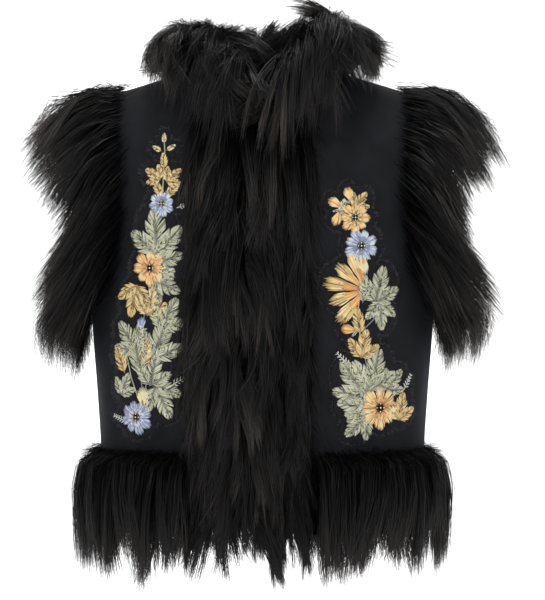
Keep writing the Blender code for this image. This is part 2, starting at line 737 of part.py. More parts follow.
def applique(name, side, motifs):
    """An embroidered net patch: a thin net whose edge follows the motifs, with the stitching raised on it."""
    shapes = [(m, placed(m, outline(m.form, m.size))) for m in motifs]
    points, faces = [], []
    for m, shape in shapes:
        centre = Vector((m.across, m.height))
        corners = shape[::2] if len(shape) > 8 else shape
        rings = [[p + (p - centre).normalized() * NET_MARGIN for p in corners], shape]
        if m.size > 0.018:
            rings.append([centre + (p - centre) * 0.60 for p in shape[::3]])
        for ring in rings:
            faces.append(list(range(len(points), len(points) + len(ring))))
            points.extend(ring)
        points.append(centre)
    flat, _, triangles = delaunay_2d_cdt(points, [], faces, 1, 0.0009)[:3]
    bm = bmesh.new()
    skins = []
    for top in (True, False):
        skin = []
        for p in flat:
            lift = LAID_GAP + (NET_THICKNESS + relief_at(p, shapes) if top else 0.0)
            skin.append(bm.verts.new(cloth_at(side * heading_at_arc(p.x, p.y), p.y, lift)))
        skins.append(skin)
    edges = {}
    for triangle in triangles:
        for k in range(len(triangle)):
            a, b = triangle[k], triangle[(k + 1) % len(triangle)]
            edges[(a, b)] = edges.get((a, b), 0) + 1
        bm.faces.new([skins[0][k] for k in triangle])
        bm.faces.new([skins[1][k] for k in reversed(triangle)])
    for a, b in edges:
        if (b, a) not in edges:
            bm.faces.new((skins[0][a], skins[1][a], skins[1][b], skins[0][b]))
    loose = [v for v in bm.verts if not v.link_faces]
    bmesh.ops.delete(bm, geom=loose, context="VERTS")
    finish(name, bm, EMBROIDERY)


def main():
    for old in list(bpy.data.objects):
        bpy.data.objects.remove(old)
    collection = bpy.data.collections.new("vest")
    bpy.context.scene.collection.children.link(collection)
    front_panels()
    back_panel()
    hem_fur()
    cap_fur("fur_armhole_right", -1, 31)
    cap_fur("fur_armhole_left", 1, 32)
    collar()
    for spec in FRONT_FURS:
        front_fur(spec)
    for name, (side, motifs) in SPRAYS.items():
        applique(name, side, motifs)


main()
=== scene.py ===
# %% [markdown]
# # A fur-trimmed vest with embroidered fronts
# This lesson dresses a plain solid model of a folk vest. The real one is black wool cloth with long dyed
# fur round the neck, down the fronts, over the armholes and round the hem, and a spray of silk flowers on
# each front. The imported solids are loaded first. They say where every piece goes, and each new piece stands
# for one of them.

# %% Load the frame
import math

import bpy
import numpy as np
from mathutils.geometry import delaunay_2d_cdt
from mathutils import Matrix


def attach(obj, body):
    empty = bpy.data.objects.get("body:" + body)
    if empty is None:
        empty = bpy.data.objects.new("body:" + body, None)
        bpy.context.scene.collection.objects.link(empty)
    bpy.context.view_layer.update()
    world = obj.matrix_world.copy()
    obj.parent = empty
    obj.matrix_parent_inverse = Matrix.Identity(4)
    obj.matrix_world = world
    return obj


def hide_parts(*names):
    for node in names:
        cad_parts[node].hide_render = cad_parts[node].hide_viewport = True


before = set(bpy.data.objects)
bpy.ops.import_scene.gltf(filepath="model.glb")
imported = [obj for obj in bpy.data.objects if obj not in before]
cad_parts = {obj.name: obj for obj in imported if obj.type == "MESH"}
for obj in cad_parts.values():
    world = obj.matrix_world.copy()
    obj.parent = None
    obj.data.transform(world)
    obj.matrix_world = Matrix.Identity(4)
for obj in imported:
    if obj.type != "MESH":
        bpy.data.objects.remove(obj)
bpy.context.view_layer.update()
print("solids:", sorted(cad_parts))

# %% [markdown]
# ## Camera, backdrop and light
# A shop shows a vest from straight in front, at chest height and with a long lens, so the camera is level.

# %% Camera
CAMERA_PLACE = (0.0115, -2.6, -0.269)
LENS_MM = 133

camera_data = bpy.data.cameras.new("camera")
camera_data.lens = LENS_MM
camera = bpy.data.objects.new("camera", camera_data)
camera.location = CAMERA_PLACE
camera.rotation_euler = (math.radians(90), 0, 0)
bpy.context.scene.collection.objects.link(camera)
bpy.context.scene.camera = camera
bpy.context.scene.view_settings.view_transform = "Standard"

# %% [markdown]
# Every material here is made of a few nodes, so one small function adds a node with its settings and its
# links. Colours are written as the hex values that a paint program shows, and one function turns them to
# linear light.

# %% Helpers for materials
def linear(hex_colour):
    """Linear RGBA from an sRGB hex value."""
    parts = [int(hex_colour[i : i + 2], 16) / 255 for i in (1, 3, 5)]
    return (*(p / 12.92 if p <= 0.04045 else ((p + 0.055) / 1.055) ** 2.4 for p in parts), 1.0)


def add_node(material, kind, links=(), **settings):
    """Adds a node. links pairs its inputs with the sockets that feed them, and settings sets the rest."""
    node = material.node_tree.nodes.new(kind)
    for key, value in settings.items():
        if hasattr(node, key):
            setattr(node, key, value)
        else:
            node.inputs[key.replace("_", " ")].default_value = value
    for key, source in dict(links).items():
        material.node_tree.links.new(source, node.inputs[key])
    return node


def new_material(name, **sockets):
    """A material whose Principled shader has these constant values, and that shader."""
    material = bpy.data.materials.new(name)
    material.use_nodes = True
    shader = material.node_tree.nodes["Principled BSDF"]
    for key, value in sockets.items():
        shader.inputs[key.replace("_", " ")].default_value = value
    return material, shader


def colour_ramp(material, source, stops, interpolation="LINEAR"):
    """The colour of a ramp that source runs along, with stops as (position, hex colour) pairs."""
    node = add_node(material, "ShaderNodeValToRGB", {"Fac": source})
    ramp = node.color_ramp
    ramp.interpolation = interpolation
    while len(ramp.elements) < len(stops):
        ramp.elements.new(0.5)
    for element, (position, colour) in zip(ramp.elements, stops):
        element.position = position
        element.color = linear(colour)
    return node.outputs["Color"]


def multiplied(material, first, second):
    """The product of two colours."""
    mix = add_node(
        material, "ShaderNodeMix", {6: first, 7: second}, data_type="RGBA", blend_type="MULTIPLY", Factor=1.0
    )
    return mix.outputs[2]


def map_place(material):
    """Where a point lies on its piece's colour map, across and up."""
    colour_map = add_node(material, "ShaderNodeUVMap", uv_map="OFBake")
    place = add_node(material, "ShaderNodeSeparateXYZ", {"Vector": colour_map.outputs["UV"]})
    return place.outputs["X"], place.outputs["Y"]


# %% [markdown]
# The backdrop is one wide sheet of matt paper, a floor that bends up into a wall without a crease, so no
# horizon line shows. A little light of its own keeps it as even and pale as paper in a well lit studio.

# %% Backdrop
FLOOR_Z = -1.30
BACKDROP_HALF_WIDTH = 24.0
BACKDROP_BEND = 1.2
BACKDROP_NEAR, BACKDROP_FAR, BACKDROP_TOP = -30.0, 3.4, 6.0

paper, shader = new_material(
    "matt_backdrop_paper",
    Base_Color=linear("#f4f4f4"),
    Roughness=1.0,
    Emission_Color=linear("#ffffff"),
    Emission_Strength=0.55,
)
bend = [
    (BACKDROP_FAR + BACKDROP_BEND * math.sin(a), BACKDROP_BEND * (1 - math.cos(a)))
    for a in np.linspace(0, math.pi / 2, 13)
]
profile = [(BACKDROP_NEAR, 0.0), *bend, (BACKDROP_FAR + BACKDROP_BEND, BACKDROP_TOP)]
backdrop_mesh = bpy.data.meshes.new("backdrop")
backdrop_mesh.from_pydata(
    [(x, y, FLOOR_Z + z) for y, z in profile for x in (-BACKDROP_HALF_WIDTH, BACKDROP_HALF_WIDTH)],
    [],
    [(2 * i, 2 * i + 1, 2 * i + 3, 2 * i + 2) for i in range(len(profile) - 1)],
)
backdrop_mesh.materials.append(paper)
backdrop_mesh.shade_smooth()
backdrop = bpy.data.objects.new("backdrop", backdrop_mesh)
bpy.context.scene.collection.objects.link(backdrop)

# %% [markdown]
# Three soft boxes light the vest: the key from the left, a weaker fill from the right, and one from above
# that shows the collar's and the armholes' hair against the dark cloth. A fourth lights the paper behind.

# %% Lights
def soft_box(name, place, aim, size, watts):
    """A square studio light at a place, turned to shine at another."""
    data = bpy.data.lights.new(name, "AREA")
    data.shape = "SQUARE"
    data.size = size
    data.energy = watts
    lamp = bpy.data.objects.new(name, data)
    lamp.location = place
    direction = np.array(aim) - np.array(place)
    lamp.rotation_euler = (
        math.atan2(math.hypot(direction[0], direction[1]), -direction[2]),
        0,
        math.atan2(direction[0], -direction[1]) + math.pi,
    )
    bpy.context.scene.collection.objects.link(lamp)


CHEST = (0, 0, -0.25)
soft_box("key", (-1.2, -2.2, 1.4), CHEST, 0.9, 34)
soft_box("fill", (1.7, -2.0, 0.5), CHEST, 1.2, 15)
soft_box("top", (0.2, 0.2, 2.0), CHEST, 1.0, 26)
soft_box("ground", (0.0, 0.6, 3.2), (0, 2.4, 0.0), 2.5, 120)
world = bpy.data.worlds.new("studio")
world.use_nodes = True
world.node_tree.nodes["Background"].inputs["Color"].default_value = linear("#f5f6f8")
world.node_tree.nodes["Background"].inputs["Strength"].default_value = 0.36
bpy.context.scene.world = world

# %% [markdown]
# ## The vest's form
# A body is round in front and flatter behind, and its girth changes with height. So each level is a
# superellipse whose half width and depths come from a short table. A place on the cloth is given by its
# turn round the body from the centre front and its climb, the height measured over the shoulder. The same
# form carries every other piece.

# %% Girth table
NECK_HALF_WIDTH = 0.082
FRONT_NECK_DROP = 0.062
BACK_NECK_DROP = 0.014
SHOULDER_SLOPE = 0.30
SHOULDER_ROUNDING = 0.065
UNDERARM_HEIGHT = -0.262
HEM_HEIGHT = -0.522
SEAM_GAP = 0.0003
CLOTH_THICKNESS = 0.002
OPENING_X = 0.012
POWER = 2 / 2.2

# height, half width, front depth, back depth
GIRTH = np.array([
    (-0.600, 0.192, 0.114, 0.110),
    (-0.530, 0.190, 0.112, 0.108),
    (-0.450, 0.189, 0.108, 0.103),
    (-0.380, 0.193, 0.112, 0.103),
    (-0.300, 0.199, 0.120, 0.108),
    (-0.230, 0.201, 0.122, 0.113),
    (-0.150, 0.196, 0.110, 0.114),
    (-0.100, 0.191, 0.093, 0.105),
    (-0.062, 0.187, 0.076, 0.092),
    (-0.030, 0.185, 0.064, 0.078),
    (0.000, 0.183, 0.056, 0.066),
    (0.040, 0.180, 0.050, 0.056),
])


def smooth(keys, values, at):
    """A smooth curve through a table's values, held flat past its ends. values may have several columns."""
    keys = np.asarray(keys, float)
    values = np.asarray(values, float)
    slopes = np.empty_like(values)
    for i in range(len(keys)):
        low, high = max(0, i - 1), min(len(keys) - 1, i + 1)
        slopes[i] = (values[high] - values[low]) / (keys[high] - keys[low])
    at = np.clip(np.asarray(at, float), keys[0], keys[-1])
    k = np.clip(np.searchsorted(keys, at, side="right") - 1, 0, len(keys) - 2)
    span = keys[k + 1] - keys[k]
    t = (at - keys[k]) / span
    if values.ndim > 1:
        span, t = span[..., None], t[..., None]
    ends = (2 * t**3 - 3 * t**2 + 1) * values[k] + (3 * t**2 - 2 * t**3) * values[k + 1]
    return ends + span * ((t**3 - 2 * t**2 + t) * slopes[k] + (t**3 - t**2) * slopes[k + 1])


# %% [markdown]
# Cloth on a body is never quite even. A few soft folds are listed: where each runs, from which height to
# which, how wide it is in degrees round the body, and how far it stands in or out.

# %% Folds
# heading in degrees, top, bottom, spread in degrees, depth
FOLDS = [
    (-66, -0.290, -0.462, 9.0, 0.0030),
    (-46, -0.350, -0.462, 8.0, 0.0018),
    (-28, -0.140, -0.300, 10.0, -0.0014),
    (38, -0.330, -0.462, 9.0, 0.0018),
    (64, -0.280, -0.462, 9.0, 0.0030),
    (30, -0.120, -0.270, 10.0, -0.0014),
    (112, -0.280, -0.462, 10.0, 0.0030),
    (140, -0.330, -0.462, 9.0, 0.0022),
    (160, -0.060, -0.240, 12.0, -0.0016),
]


def fold_lift(turn, climb):
    """How far the folds push the cloth in or out."""
    around = (np.degrees(turn) + 180) % 360 - 180
    lift = np.zeros_like(around)
    for heading, top, bottom, spread, depth in FOLDS:
        aside = (around - heading + 180) % 360 - 180
        inside = (np.abs(aside) <= 3 * spread) & (climb > bottom) & (climb < top)
        fade = np.sin(np.pi * np.clip((climb - bottom) / (top - bottom), 0, 1))
        lift += np.where(inside, depth * fade * np.exp(-((aside / spread) ** 2)), 0)
    return lift


# %% [markdown]
# A superellipse bulges a little more than a circle, as a chest does. Near the shoulder the cloth turns in
# over the shoulder line, so a place's height comes from its climb in a few rounds of the same sum.

# %% Places on the cloth
def signed_power(value, power):
    """A power that keeps the sign of the value."""
    return np.sign(value) * np.abs(value) ** power


def shoulder_height(x):
    """The height of the shoulder line at x."""
    return (NECK_HALF_WIDTH - np.abs(x)) * SHOULDER_SLOPE


def on_cloth(turn, climb, lift=0.0):
    """Points of the cloth's outer face, moved out by lift. The arguments are arrays of one shape."""
    turn, climb, lift = (np.array(a, float) for a in np.broadcast_arrays(turn, climb, lift))
    out = lift + fold_lift(turn, climb)
    front = np.cos(turn) > 0
    across = signed_power(np.sin(turn), POWER)
    height, fade = climb.copy(), np.ones_like(climb)
    for _ in range(5):
        girth = smooth(GIRTH[:, 0], GIRTH[:, 1:], height)
        x = (girth[..., 0] + out) * across
        bend_start = shoulder_height(x) - SHOULDER_ROUNDING
        over = np.clip((climb - bend_start) / SHOULDER_ROUNDING, 0, math.pi / 2)
        height = np.where(over > 0, bend_start + (SHOULDER_ROUNDING + out) * np.sin(over), climb)
        fade = np.cos(over)
    girth = smooth(GIRTH[:, 0], GIRTH[:, 1:], height)
    depth = np.where(front, girth[..., 1], girth[..., 2]) + out
    y = -depth * signed_power(np.cos(turn), POWER) * fade - np.where(front, 1, -1) * SEAM_GAP / 2
    return np.stack([x, y, height], axis=-1)


def turn_of(x, height, back=False):
    """The turn of the cloth's points at this x and height."""
    girth = smooth(GIRTH[:, 0], GIRTH[:, 1:], height)
    turn = np.arcsin(signed_power(np.clip(x / girth[..., 0], -1, 1), 1 / POWER))
    return np.where(back, math.pi - turn, turn)


def climb_of(x, height):
    """The climb of the cloth's points at this x and height."""
    bend_start = shoulder_height(x) - SHOULDER_ROUNDING
    over = np.arcsin(np.clip((height - bend_start) / SHOULDER_ROUNDING, 0, 1))
    return np.where(height <= bend_start, height, bend_start + SHOULDER_ROUNDING * over)


def shoulder_climb(x):
    """The climb at which the cloth reaches the shoulder seam."""
    return shoulder_height(x) + SHOULDER_ROUNDING * (math.pi / 2 - 1)


def unit(vectors):
    """The same directions, each one long."""
    return vectors / np.maximum(1e-9, np.linalg.norm(vectors, axis=-1, keepdims=True))


def face_out(turn, climb):
    """The cloth's outward direction."""
    step = 0.0005
    round_body = on_cloth(turn + step, climb) - on_cloth(turn - step, climb)
    up_cloth = on_cloth(turn, climb) - on_cloth(turn, climb - step)
    return unit(np.cross(round_body, up_cloth))


# %% [markdown]
# ## Cloth panels
# The maker cuts two fronts and one back. Each is a thin wall here, an outer and an inner face joined at the
# edges, through rows that run from the centre to the side. The rows end on the armhole, the neckline and
# the shoulder seam.

# %% Edges of the panels
# height, x in front, x behind. The side seam and the shoulder seam close the table.
ARMHOLE = [
    (-0.257, 0.195, 0.195),
    (-0.237, 0.185, 0.187),
    (-0.206, 0.178, 0.181),
    (-0.168, 0.175, 0.178),
    (-0.130, 0.174, 0.177),
    (-0.092, 0.175, 0.177),
    (-0.060, 0.177, 0.178),
]
SHOULDER_X = 0.181


def armhole_places(share, back):
    """Turn and climb on the armhole's edge, underarm (0) to shoulder point (1), in the left half."""
    places = [(math.pi / 2, UNDERARM_HEIGHT)]
    for height, front_x, back_x in ARMHOLE:
        x = back_x if back else front_x
        places.append((float(turn_of(x, height, back)), float(climb_of(x, height))))
    top = shoulder_height(SHOULDER_X)
    places.append((float(turn_of(SHOULDER_X, top, back)), float(shoulder_climb(SHOULDER_X))))
    return smooth(np.linspace(0, 1, len(places)), places, share)


def neck_places(across, drop, back):
    """Turn and climb on the neckline, in the left half."""
    across = np.asarray(across, float)
    height = -drop * np.sqrt(np.clip(1 - (across / NECK_HALF_WIDTH) ** 2, 0, 1))
    end = across >= NECK_HALF_WIDTH - 1e-6
    climb = np.where(end, shoulder_climb(NECK_HALF_WIDTH), climb_of(across, height))
    return np.stack([turn_of(across, height, back), climb], axis=-1)


# %% [markdown]
# A panel is laid out like the pattern piece: rows run level up to the underarm, then slant to the armhole,
# and then follow the neckline and the shoulder.

# %% Rows of a panel
UNDERARM_ROWS, CHEST_ROWS, NECK_ROWS = 36, 26, 18
PANEL_COLUMNS = 30
ARMHOLE_AT_NECK = 0.62


def half_panel(centre_x, neck_drop, back):
    """Turn and climb of one half of a panel, as rows from the hem to the shoulder seam."""
    rows = []
    neck_angle = math.asin(centre_x / NECK_HALF_WIDTH)
    neck_climb = neck_places(centre_x, neck_drop, back)[1]
    steps = np.linspace(0, 1, PANEL_COLUMNS + 1)
    for climb in np.linspace(HEM_HEIGHT, UNDERARM_HEIGHT, UNDERARM_ROWS, endpoint=False):
        turns = float(turn_of(centre_x, climb, back)) * (1 - steps) + math.pi / 2 * steps
        rows.append(np.stack([turns, np.full_like(turns, climb)], axis=-1))
    for share in np.linspace(0, 1, CHEST_ROWS, endpoint=False):
        climb = UNDERARM_HEIGHT + (neck_climb - UNDERARM_HEIGHT) * share
        centre = np.array([float(turn_of(centre_x, climb, back)), climb])
        side = armhole_places(ARMHOLE_AT_NECK * share, back)
        rows.append(centre * (1 - steps[:, None]) + side * steps[:, None])
    for share in np.linspace(0, 1, NECK_ROWS + 1):
        angle = neck_angle + (math.pi / 2 - neck_angle) * share
        centre = neck_places(NECK_HALF_WIDTH * math.sin(angle), neck_drop, back)
        side = armhole_places(ARMHOLE_AT_NECK + (1 - ARMHOLE_AT_NECK) * share, back)
        row = centre * (1 - steps[:, None]) + side * steps[:, None]
        ends = np.array([centre, side])
        below = shoulder_climb(on_cloth(ends[:, 0], ends[:, 1])[:, 0]) - ends[:, 1]
        below = np.maximum(0, below[0] * (1 - steps) + below[1] * steps)
        from_seam = shoulder_climb(on_cloth(row[:, 0], row[:, 1])[:, 0]) - below
        row[:, 1] = row[:, 1] * (1 - share) + from_seam * share
        rows.append(row)
    return np.array(rows)


# %% [markdown]
# Cloth of this weight is about 2 mm thick. Its inner face is the outer one moved in, and a rim closes the
# cut edges.

# %% Panels as thin walls
def loft_faces(rows, columns, closed):
    """Quads between rows of points, and between the last column and the first where closed."""
    index = np.arange(rows * columns).reshape(rows, columns)
    if closed:
        index = np.concatenate([index, index[:, :1]], axis=1)
    corners = [index[:-1, :-1], index[:-1, 1:], index[1:, 1:], index[1:, :-1]]
    return np.stack(corners, axis=-1).reshape(-1, 4)


def add_piece(name, mesh, node):
    """Puts a mesh in the scene as a piece that rides on the vest and stands for one of its solids."""
    piece = bpy.data.objects.new(name, mesh)
    bpy.context.scene.collection.objects.link(piece)
    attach(piece, "root")
    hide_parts(node)
    return piece


def cloth_panel(name, node, places):
    """A thin wall through places, an array of rows by columns by (turn, climb)."""
    rows, columns = places.shape[:2]
    outer = on_cloth(places[..., 0], places[..., 1])
    inner = on_cloth(places[..., 0], places[..., 1], -CLOTH_THICKNESS)
    count = rows * columns
    index = np.arange(count).reshape(rows, columns)
    face = loft_faces(rows, columns, False)
    rim = [index[0], index[-1][::-1], index[::-1, 0], index[:, -1]]
    edge = [(a, a + count, b + count, b) for line in rim for a, b in zip(line, line[1:])]
    faces = np.concatenate([face, face[:, ::-1] + count, np.array(edge)])
    mesh = bpy.data.meshes.new(name)
    mesh.from_pydata(np.concatenate([outer.reshape(-1, 3), inner.reshape(-1, 3)]), [], faces)
    winding = np.cross(outer[5, 6] - outer[5, 5], outer[6, 5] - outer[5, 5])
    if (winding * face_out(*places[5, 5])).sum() < 0:
        mesh.flip_normals()
    mesh.materials.append(wool)
    mesh.shade_smooth()
    mesh.set_sharp_from_angle(angle=math.radians(50))
    corner = outer[1:, 1:] - outer[:-1, :-1]
    area = np.linalg.norm(np.cross(corner, outer[1:, :-1] - outer[:-1, 1:]), axis=-1).sum() / 2
    print(name, "area", round(float(area), 4), "m2")
    return add_piece(name, mesh, node), area


# %% [markdown]
# The cloth is black wool, milled and brushed until its weave is closed. That gives it a matt face with a
# faint lighter bloom at grazing angles. Slight lighter and darker clouds are painted in its colour: painted
# sheen where the nap lies one way or another and catches more or less light. The single fibres are about 0.03
# mm, too fine to show, so the fine grain is drawn at 0.8 mm.

# %% Black milled wool
NAP_GRAIN_MM = 0.8
NAP_CLOUD_MM = 26

wool, shader = new_material(
    "black_milled_wool",
    Roughness=0.88,
    Sheen_Weight=0.10,
    Sheen_Roughness=0.45,
    Sheen_Tint=linear("#8f96a8"),
    IOR=1.5,
    Specular_IOR_Level=0.16,
)
place = add_node(wool, "ShaderNodeTexCoord")
painted_sheen_clouds = add_node(
    wool, "ShaderNodeTexNoise", {"Vector": place.outputs["Object"]}, Scale=1000 / NAP_CLOUD_MM, Detail=3.0
)
# Painted sheen: the clouds lighten and darken the cloth's colour in soft patches
tint = colour_ramp(wool, painted_sheen_clouds.outputs["Fac"], [(0.30, "#0e0f12"), (0.72, "#17181c")])
grain = add_node(
    wool, "ShaderNodeTexNoise", {"Vector": place.outputs["Object"]}, Scale=1000 / NAP_GRAIN_MM, Detail=4.0
)
nap = add_node(wool, "ShaderNodeBump", {"Height": grain.outputs["Fac"]}, Strength=0.35, Distance=0.0006)
wool.node_tree.links.new(tint, shader.inputs["Base Color"])
wool.node_tree.links.new(nap.outputs["Normal"], shader.inputs["Normal"])

# %% [markdown]
# The opening lies a little to the wearer's left of the centre, so the right front is cut wider. The back is
# one piece without a centre seam. Each sheet's flat size is what the maker lays out for it.

# %% Fronts and back
OPENING_GAP = 0.001
for name, side in (("front_right", -1), ("front_left", 1)):
    edge_x = side * OPENING_X + OPENING_GAP / 2
    places = half_panel(edge_x, FRONT_NECK_DROP, False)
    places[..., 0] *= side
    panel, area = cloth_panel(f"{name}_cloth", name, places)
left_half = half_panel(0.0, BACK_NECK_DROP, True)
right_half = left_half[:, :0:-1].copy()
right_half[..., 0] = 2 * math.pi - right_half[..., 0]
panel, area = cloth_panel("back_cloth", "back", np.concatenate([right_half, left_half], axis=1))

# %% [markdown]
# ## Fur
# Long fur is many hairs that stand in the skin, bend over and fall, and gather into pointed locks.
# Each hair is a narrow ribbon of a few quads that tapers to its tip, so the fur is a mesh like any other.
# All hairs of a trim are made at once: where each is rooted, the line it follows, and how far its lock
# draws it in.

# %% Locks and tufts
HAIR_STEPS = 5
ALONG = np.linspace(0, 1, HAIR_STEPS + 1)


def nearest(points, middles):
    """The number of the closest middle to each point."""
    return ((points[:, None] - middles[None]) ** 2).sum(axis=-1).argmin(axis=1)


def gather(rng, roots, locks, tufts, scale):
    """Groups hairs in locks and locks in tufts.

    Returns the ways from each hair to its lock's middle and from there to its tuft's, and both numbers.
    """
    scale = np.array(scale)
    middle = roots[rng.choice(len(roots), locks, replace=False)]
    lock = nearest(roots * scale, middle * scale)
    tuft_middle = middle[rng.choice(locks, tufts, replace=False)]
    tuft = nearest(middle * scale, tuft_middle * scale)
    return middle[lock] - roots, (tuft_middle[tuft] - middle)[lock], lock, tuft[lock]


def waves(rng, lock, size):
    """A slow bend from side to side, its own for every lock, that grows towards the tips."""
    count = lock.max() + 1
    phase, turns = rng.uniform(0, 6.3, count)[lock], rng.uniform(2.5, 6.5, count)[lock]
    amount = rng.normal(0, size, count)[lock]
    return amount[:, None] * np.sin(phase[:, None] + turns[:, None] * ALONG[None]) * ALONG[None] ** 0.8


MAX_STRAY = 0.013


def stray(rng, spines, outward, spread, wild=0.08):
    """Bends every hair a little its own way, never inwards, and a few of them three times as far."""
    loose = np.where(rng.uniform(0, 1, len(spines)) < wild, 3.0, 1.0)
    bend = rng.normal(0, spread, (len(spines), 1, 3)) * loose[:, None, None]
    bend = bend * np.minimum(1, MAX_STRAY / np.maximum(1e-6, np.linalg.norm(bend, axis=-1, keepdims=True)))
    bend = bend - 2 * np.minimum(0, (bend * outward).sum(-1, keepdims=True)) * outward
    return spines + bend * (ALONG**1.6)[None, :, None]


def tones(rng, lock, span=1.0, darkest=0.0):
    """A tone for every hair: mostly its lock's, and a few locks much lighter, lighter hair that also stands
    in for painted sheen.
    """
    count = lock.max() + 1
    of_lock = rng.uniform(0, 0.85, count) ** 1.2
    of_lock = np.where(rng.uniform(0, 1, count) < 0.13, 1.0, of_lock)
    return darkest + span * np.clip(0.7 * of_lock[lock] + 0.3 * rng.uniform(0, 1, len(lock)), 0, 1)


# %% [markdown]
# A ribbon turns its face outwards, give or take a little, so that light catches some hairs and misses
# others. A colour map goes with it. Where a trim is sewn on, short soft hairs cover its edge.

# %% Hairs as ribbons
def ribbons(rng, spines, outward, width, tilt=0.8):
    """Points and quads of a ribbon along each spine, its face outward, give or take tilt radians."""
    flow = unit(np.gradient(spines, axis=1))
    across = unit(np.cross(flow, outward))
    angle = rng.uniform(-tilt, tilt, (len(spines), 1, 1))
    across = across * np.cos(angle) + np.cross(flow, across) * np.sin(angle)
    taper = np.interp(ALONG, [0, 0.25, 0.7, 1], [0.8, 1.0, 0.8, 0.12])[None, :, None]
    half = width[:, None, None] / 2 * taper
    points = np.stack([spines - across * half, spines + across * half], axis=2)
    start = np.arange(len(spines))[:, None] * (HAIR_STEPS + 1) * 2 + np.arange(HAIR_STEPS)[None] * 2
    quads = np.stack([start, start + 1, start + 3, start + 2], axis=-1)
    return points.reshape(-1, 3), quads.reshape(-1, 4)


def ribbon_uv(tone):
    """Each ribbon's place on the colour map: its tone across, and root to tip upwards."""
    column = 0.02 + 0.93 * tone
    u = np.stack([column, column + 0.02, column + 0.02, column], axis=-1)[:, None]
    v = np.stack([ALONG[:-1], ALONG[:-1], ALONG[1:], ALONG[1:]], axis=-1)[None]
    return np.stack(np.broadcast_arrays(u, v), axis=-1).reshape(-1, 2)


GUARD_WIDTHS = (0.00045, 0.00084)


def guard_hairs(rng, spines, outward, lock, span=1.0, darkest=0.0, shade=1.0):
    """The long glossy hairs of a trim, as points, quads and map. Their tones are multiplied by shade, which
    paints shade on them where it is below 1.
    """
    width = rng.uniform(*GUARD_WIDTHS, len(spines))
    return *ribbons(rng, spines, outward, width), ribbon_uv(tones(rng, lock, span, darkest) * shade)


def downy_edge(rng, roots, flow, outward, length, spread):
    """Short soft hairs along a trim's sewn edge, fanned round the way its fur lies."""
    count = len(roots)
    aim = unit(flow + outward * rng.uniform(0.1, 0.8, (count, 1)) + rng.normal(0, spread, (count, 3)))
    aim = aim - outward * np.minimum(0, (aim * outward).sum(-1, keepdims=True) - 0.05)
    reach = rng.uniform(0.4, 1.0, (count, 1, 1)) * length
    u = ALONG[None, :, None]
    spines = roots[:, None] + aim[:, None] * reach * u + flow[:, None] * reach * 0.4 * u**2
    facing = np.broadcast_to(outward[:, None], spines.shape)
    width = rng.uniform(0.00030, 0.00055, count)
    return *ribbons(rng, spines, facing, width), ribbon_uv(rng.uniform(0.0, 0.55, count))


# %% [markdown]
# Between the hairs of a thick fur lies dense underfur that no light gets through. A closed dark mass under
# the hairs stands for it, coloured like the hairs' roots, so its darkness is partly painted shade for the
# inside of the fur. A trim is one mesh, this mass and all its hairs joined.

# %% Join a trim
def joined_mesh(name, groups, materials):
    """One mesh of (points, quads, uv) groups. Each group has its own material, or all have the last."""
    starts = np.cumsum([0] + [len(points) for points, _, _ in groups])
    quads = [quads + start for (_, quads, _), start in zip(groups, starts)]
    slots = [np.full(len(quads), min(i, len(materials) - 1)) for i, (_, quads, _) in enumerate(groups)]
    mesh = bpy.data.meshes.new(name)
    mesh.from_pydata(np.concatenate([points for points, _, _ in groups]), [], np.concatenate(quads))
    layer = mesh.uv_layers.new(name="OFBake")
    layer.data.foreach_set("uv", np.concatenate([uv for _, _, uv in groups]).astype(np.float32).ravel())
    for material in materials:
        mesh.materials.append(material)
    mesh.polygons.foreach_set("material_index", np.concatenate(slots).astype(np.int32))
    mesh.shade_smooth()
    return mesh


def fur_piece(name, node, groups, underfur):
    """One trim. groups is a list of (points, quads, uv), and underfur the points of its dark inner mass."""
    rows, columns = underfur.shape[:2]
    faces = loft_faces(rows, columns, True)
    across, up = (faces % columns) / columns, (faces // columns) / rows
    # The mass takes the roots' colour from the map: painted shade inside the fur
    mass_uv = np.stack([0.02 + 0.9 * across, 0.02 + 0.1 * up], axis=-1).reshape(-1, 2)
    mesh = joined_mesh(name, [(underfur.reshape(-1, 3), faces, mass_uv), *groups], [dyed_fur])
    print(name, "hairs", sum(len(g[0]) for g in groups) // (2 * HAIR_STEPS + 2))
    add_piece(name, mesh, node)


# %% [markdown]
# The fur is long fox, dyed nearly black. Dyed guard hair is glossy, with light running along it, and a little
# brown towards the tips. It is darkest at the skin: partly the dye, and partly painted shade for the depth of
# the fur at the roots, where the gloss is also lower. The ribbon's map says how far along the hair a point
# is, and which tone its hair has. The lightest tones, on a few locks, are lighter brown-grey hair that also
# stands in for painted sheen on those locks. Real hairs are about 0.08 mm, so a ribbon of 0.7 mm stands for a
# few of them lying together.

# %% Dyed fox fur
dyed_fur, shader = new_material("dyed_fox_fur", Roughness=0.44, IOR=1.55)
tone, along_hair = map_place(dyed_fur)
# Painted shade at the roots: the hair is darkest at the skin and lightens towards the browner tips
root_shade_and_tip_tint = colour_ramp(
    dyed_fur, along_hair, [(0.0, "#161616"), (0.25, "#1f1f1f"), (0.6, "#3f3d3c"), (1.0, "#716c68")]
)
